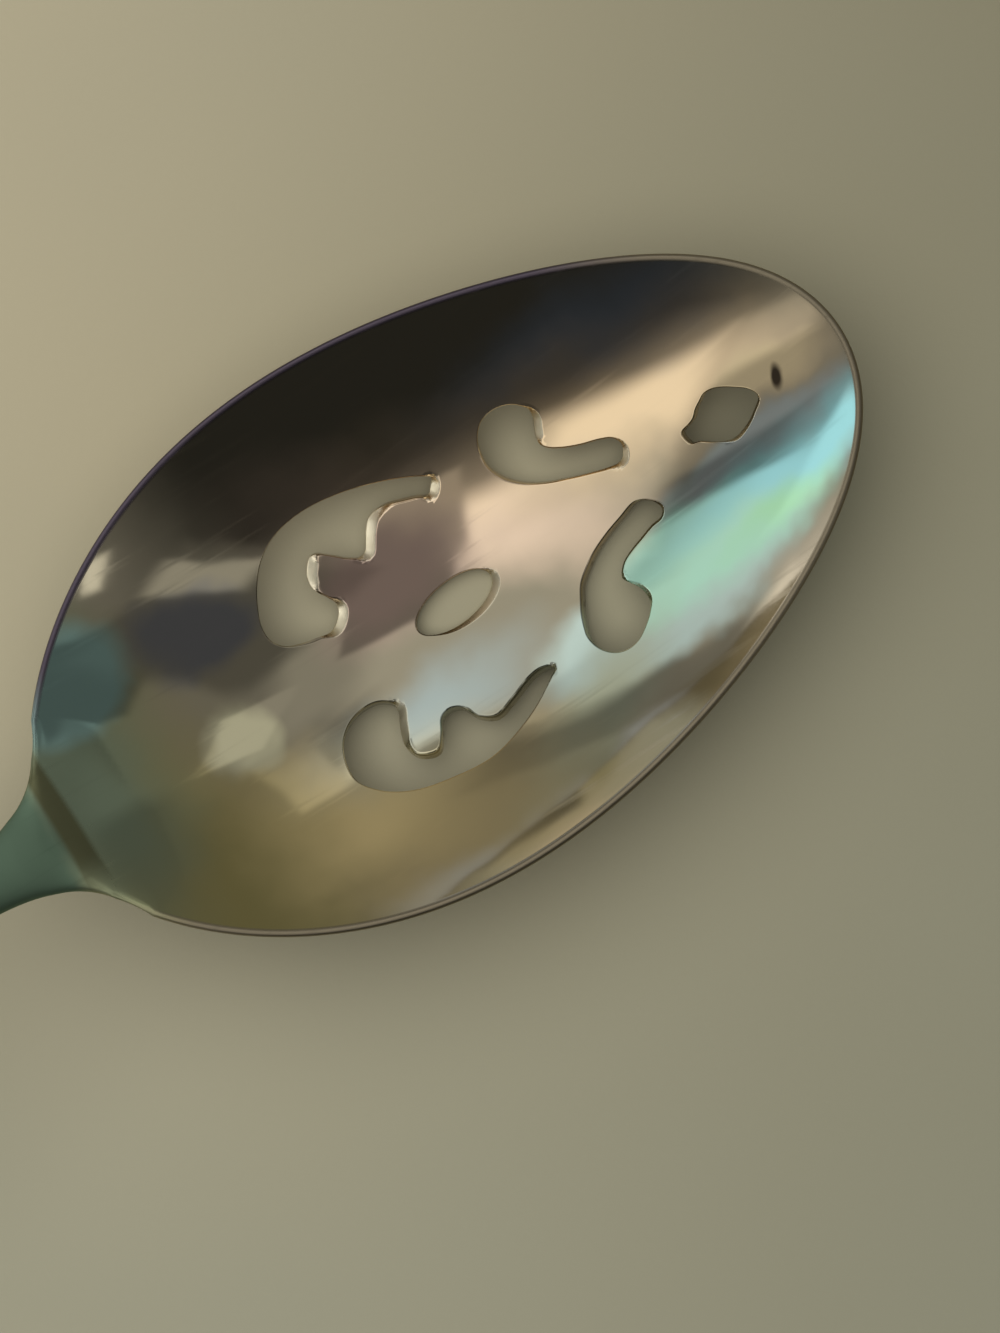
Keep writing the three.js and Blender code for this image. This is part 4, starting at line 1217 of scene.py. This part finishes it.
def make_table(material):
    mesh = bpy.data.meshes.new("table")
    corners = [(x * TABLE_HALF, y * TABLE_HALF, 0) for x, y in ((-1, -1), (1, -1), (1, 1), (-1, 1))]
    mesh.from_pydata(corners, [], [(0, 1, 2, 3)])
    table = bpy.data.objects.new("table", mesh)
    bpy.context.scene.collection.objects.link(table)
    mesh.materials.append(material)


# What stands round the table, seen only in the metal: white, grey and black cards in a dim studio.
# Each has its place in degrees from straight overhead, to the camera's right and to its top, its
# half width and height, its turn and fade, and its brightness.
CARDS = [
    ("dark room", (130, -20), (62, 160), 0, 0.15, 0.05),
    ("window", (-108, 5), (36, 60), 0, 0.05, 1.8),
    ("lit floor", (0, -130), (160, 42), 0, 0.1, 0.3),
    ("olive wall", (-17.1, 64.9), (42.1, 22.3), -13, 0.29, 0.303),
    ("khaki wall", (-49.1, 67.4), (26.7, 11.3), -10, 0.31, 0.251),
    ("dark green wall", (48.4, 33.5), (17.3, 47), 31, 0.29, 0.259),
    ("dark green strip", (-45, 52.2), (14.3, 3.7), 2, 0.35, 0.203),
    ("whitish ceiling", (-48.1, 38.2), (22.9, 8.1), -3, 0.15, 0.731),
    ("grey ceiling", (-20.9, 29), (20, 12.4), 13, 0.13, 1.025),
    ("middle grey", (21, 8.9), (12.3, 23.9), 40, 0.24, 0.66),
    ("bright side", (-79.1, 30.3), (33.8, 16.3), -16, 0.35, 0.788),
    ("cyan side", (-69.3, 14.4), (3.9, 14.8), -3, 0.35, 0.949),
    ("dark band", (-40.2, 5.5), (19, 6.9), 10, 0.35, 0.212),
    ("tan wall", (-45.2, -27), (11.6, 13.7), -21, 0.29, 0.374),
    ("tan lit", (-41.3, -35.9), (9.8, 8.3), 4, 0.35, 0.679),
    ("dark floor", (25.7, -73.7), (43.7, 49), 27, 0.36, 0.048),
    ("peach wall", (-12.4, -2.6), (22.3, 26.1), 12, 0.22, 0.995),
    ("lamp on the wall", (-16.9, -25.2), (13.4, 14.5), 4, 0.36, 0.881),
    ("silhouette", (9.5, -12.4), (9.9, 21.3), 16, 0.06, 0.314),
    ("brown right", (37.2, 11.3), (14.3, 25.5), 22, 0.2, 0.389),
    ("teal end", (57.1, -4.4), (10.3, 12.2), 7, 0.13, 0.183),
    ("dark blue", (36.6, -10.4), (19.4, 12.9), -32, 0.17, 0.222),
    ("pink stripe", (42.3, -21.3), (8.7, 3.2), -22, 0.29, 0.807),
    ("lamp", (59.5, -29.6), (1.3, 4), 8, 0.35, 1.823),
    ("pale square", (21.1, 23.9), (5.3, 8.2), 12, 0.08, 0.72),
    ("second pale square", (4, 41.6), (3.6, 10.8), 44, 0.12, 0.528),
]
STUDIO = 0.428  # brightness between the cards
TABLE_LIGHT = 0.27  # brightness of the room as it lights the table
LAMP_PLACE = (0.03, 0.14, 0.8)  # metres
LAMP_SIZE = 1.5
LAMP_POWER = 9.2
LAMP_COLOUR = (1.0, 0.99, 0.96)
TABLE_HALF = 2.0


def grey(level):
    return level, level, level, 1


def make_studio():
    """The room as the metal sees it, and an even light for everything else."""
    world = bpy.data.worlds.new("studio")
    bpy.context.scene.world = world
    world.use_nodes = True
    tree = world.node_tree
    backdrop = tree.nodes["Background"]
    way = add(tree, "ShaderNodeTexCoord").outputs["Generated"]
    framed = add(tree, "ShaderNodeVectorRotate", {"Vector": way, "Angle": -math.radians(CAMERA_YAW)},
                 rotation_type="Z_AXIS")
    parts = add(tree, "ShaderNodeSeparateXYZ", {0: framed})
    flat = add(tree, "ShaderNodeCombineXYZ", {"X": parts.outputs["X"], "Y": parts.outputs["Y"]})
    unit = add(tree, "ShaderNodeVectorMath", {0: flat}, operation="NORMALIZE")
    down = add(tree, "ShaderNodeMath", {0: parts.outputs["Z"]}, operation="ARCCOSINE")
    degrees = add(tree, "ShaderNodeMath", {0: down}, operation="DEGREES")
    seen = add(tree, "ShaderNodeVectorMath", {0: unit, "Scale": degrees}, operation="SCALE")
    cards = [(soft_patch(tree, seen, *card), grey(level)) for _, *card, level in CARDS]
    path = add(tree, "ShaderNodeLightPath")
    shown = layered(tree, grey(TABLE_LIGHT),
                    [(path.outputs["Is Glossy Ray"], layered(tree, grey(STUDIO), cards))])
    tree.links.new(shown, backdrop.inputs["Color"])


def make_lamp():
    """A large soft lamp, almost overhead. In the metal the white cards stand for it."""
    light = bpy.data.lights.new("soft_lamp", "AREA")
    light.shape = "DISK"
    light.size = LAMP_SIZE
    light.energy = LAMP_POWER
    light.color = LAMP_COLOUR
    lamp = bpy.data.objects.new("soft_lamp", light)
    lamp.location = LAMP_PLACE
    towards_bowl = Vector((CENTRE_X * MM, 0, 0)) - lamp.location
    lamp.rotation_euler = towards_bowl.to_track_quat("-Z", "Y").to_euler()
    lamp.visible_glossy = False
    bpy.context.scene.collection.objects.link(lamp)


make_camera()
make_table(painted_table())
make_studio()
make_lamp()
bpy.context.scene.view_settings.view_transform = "Standard"
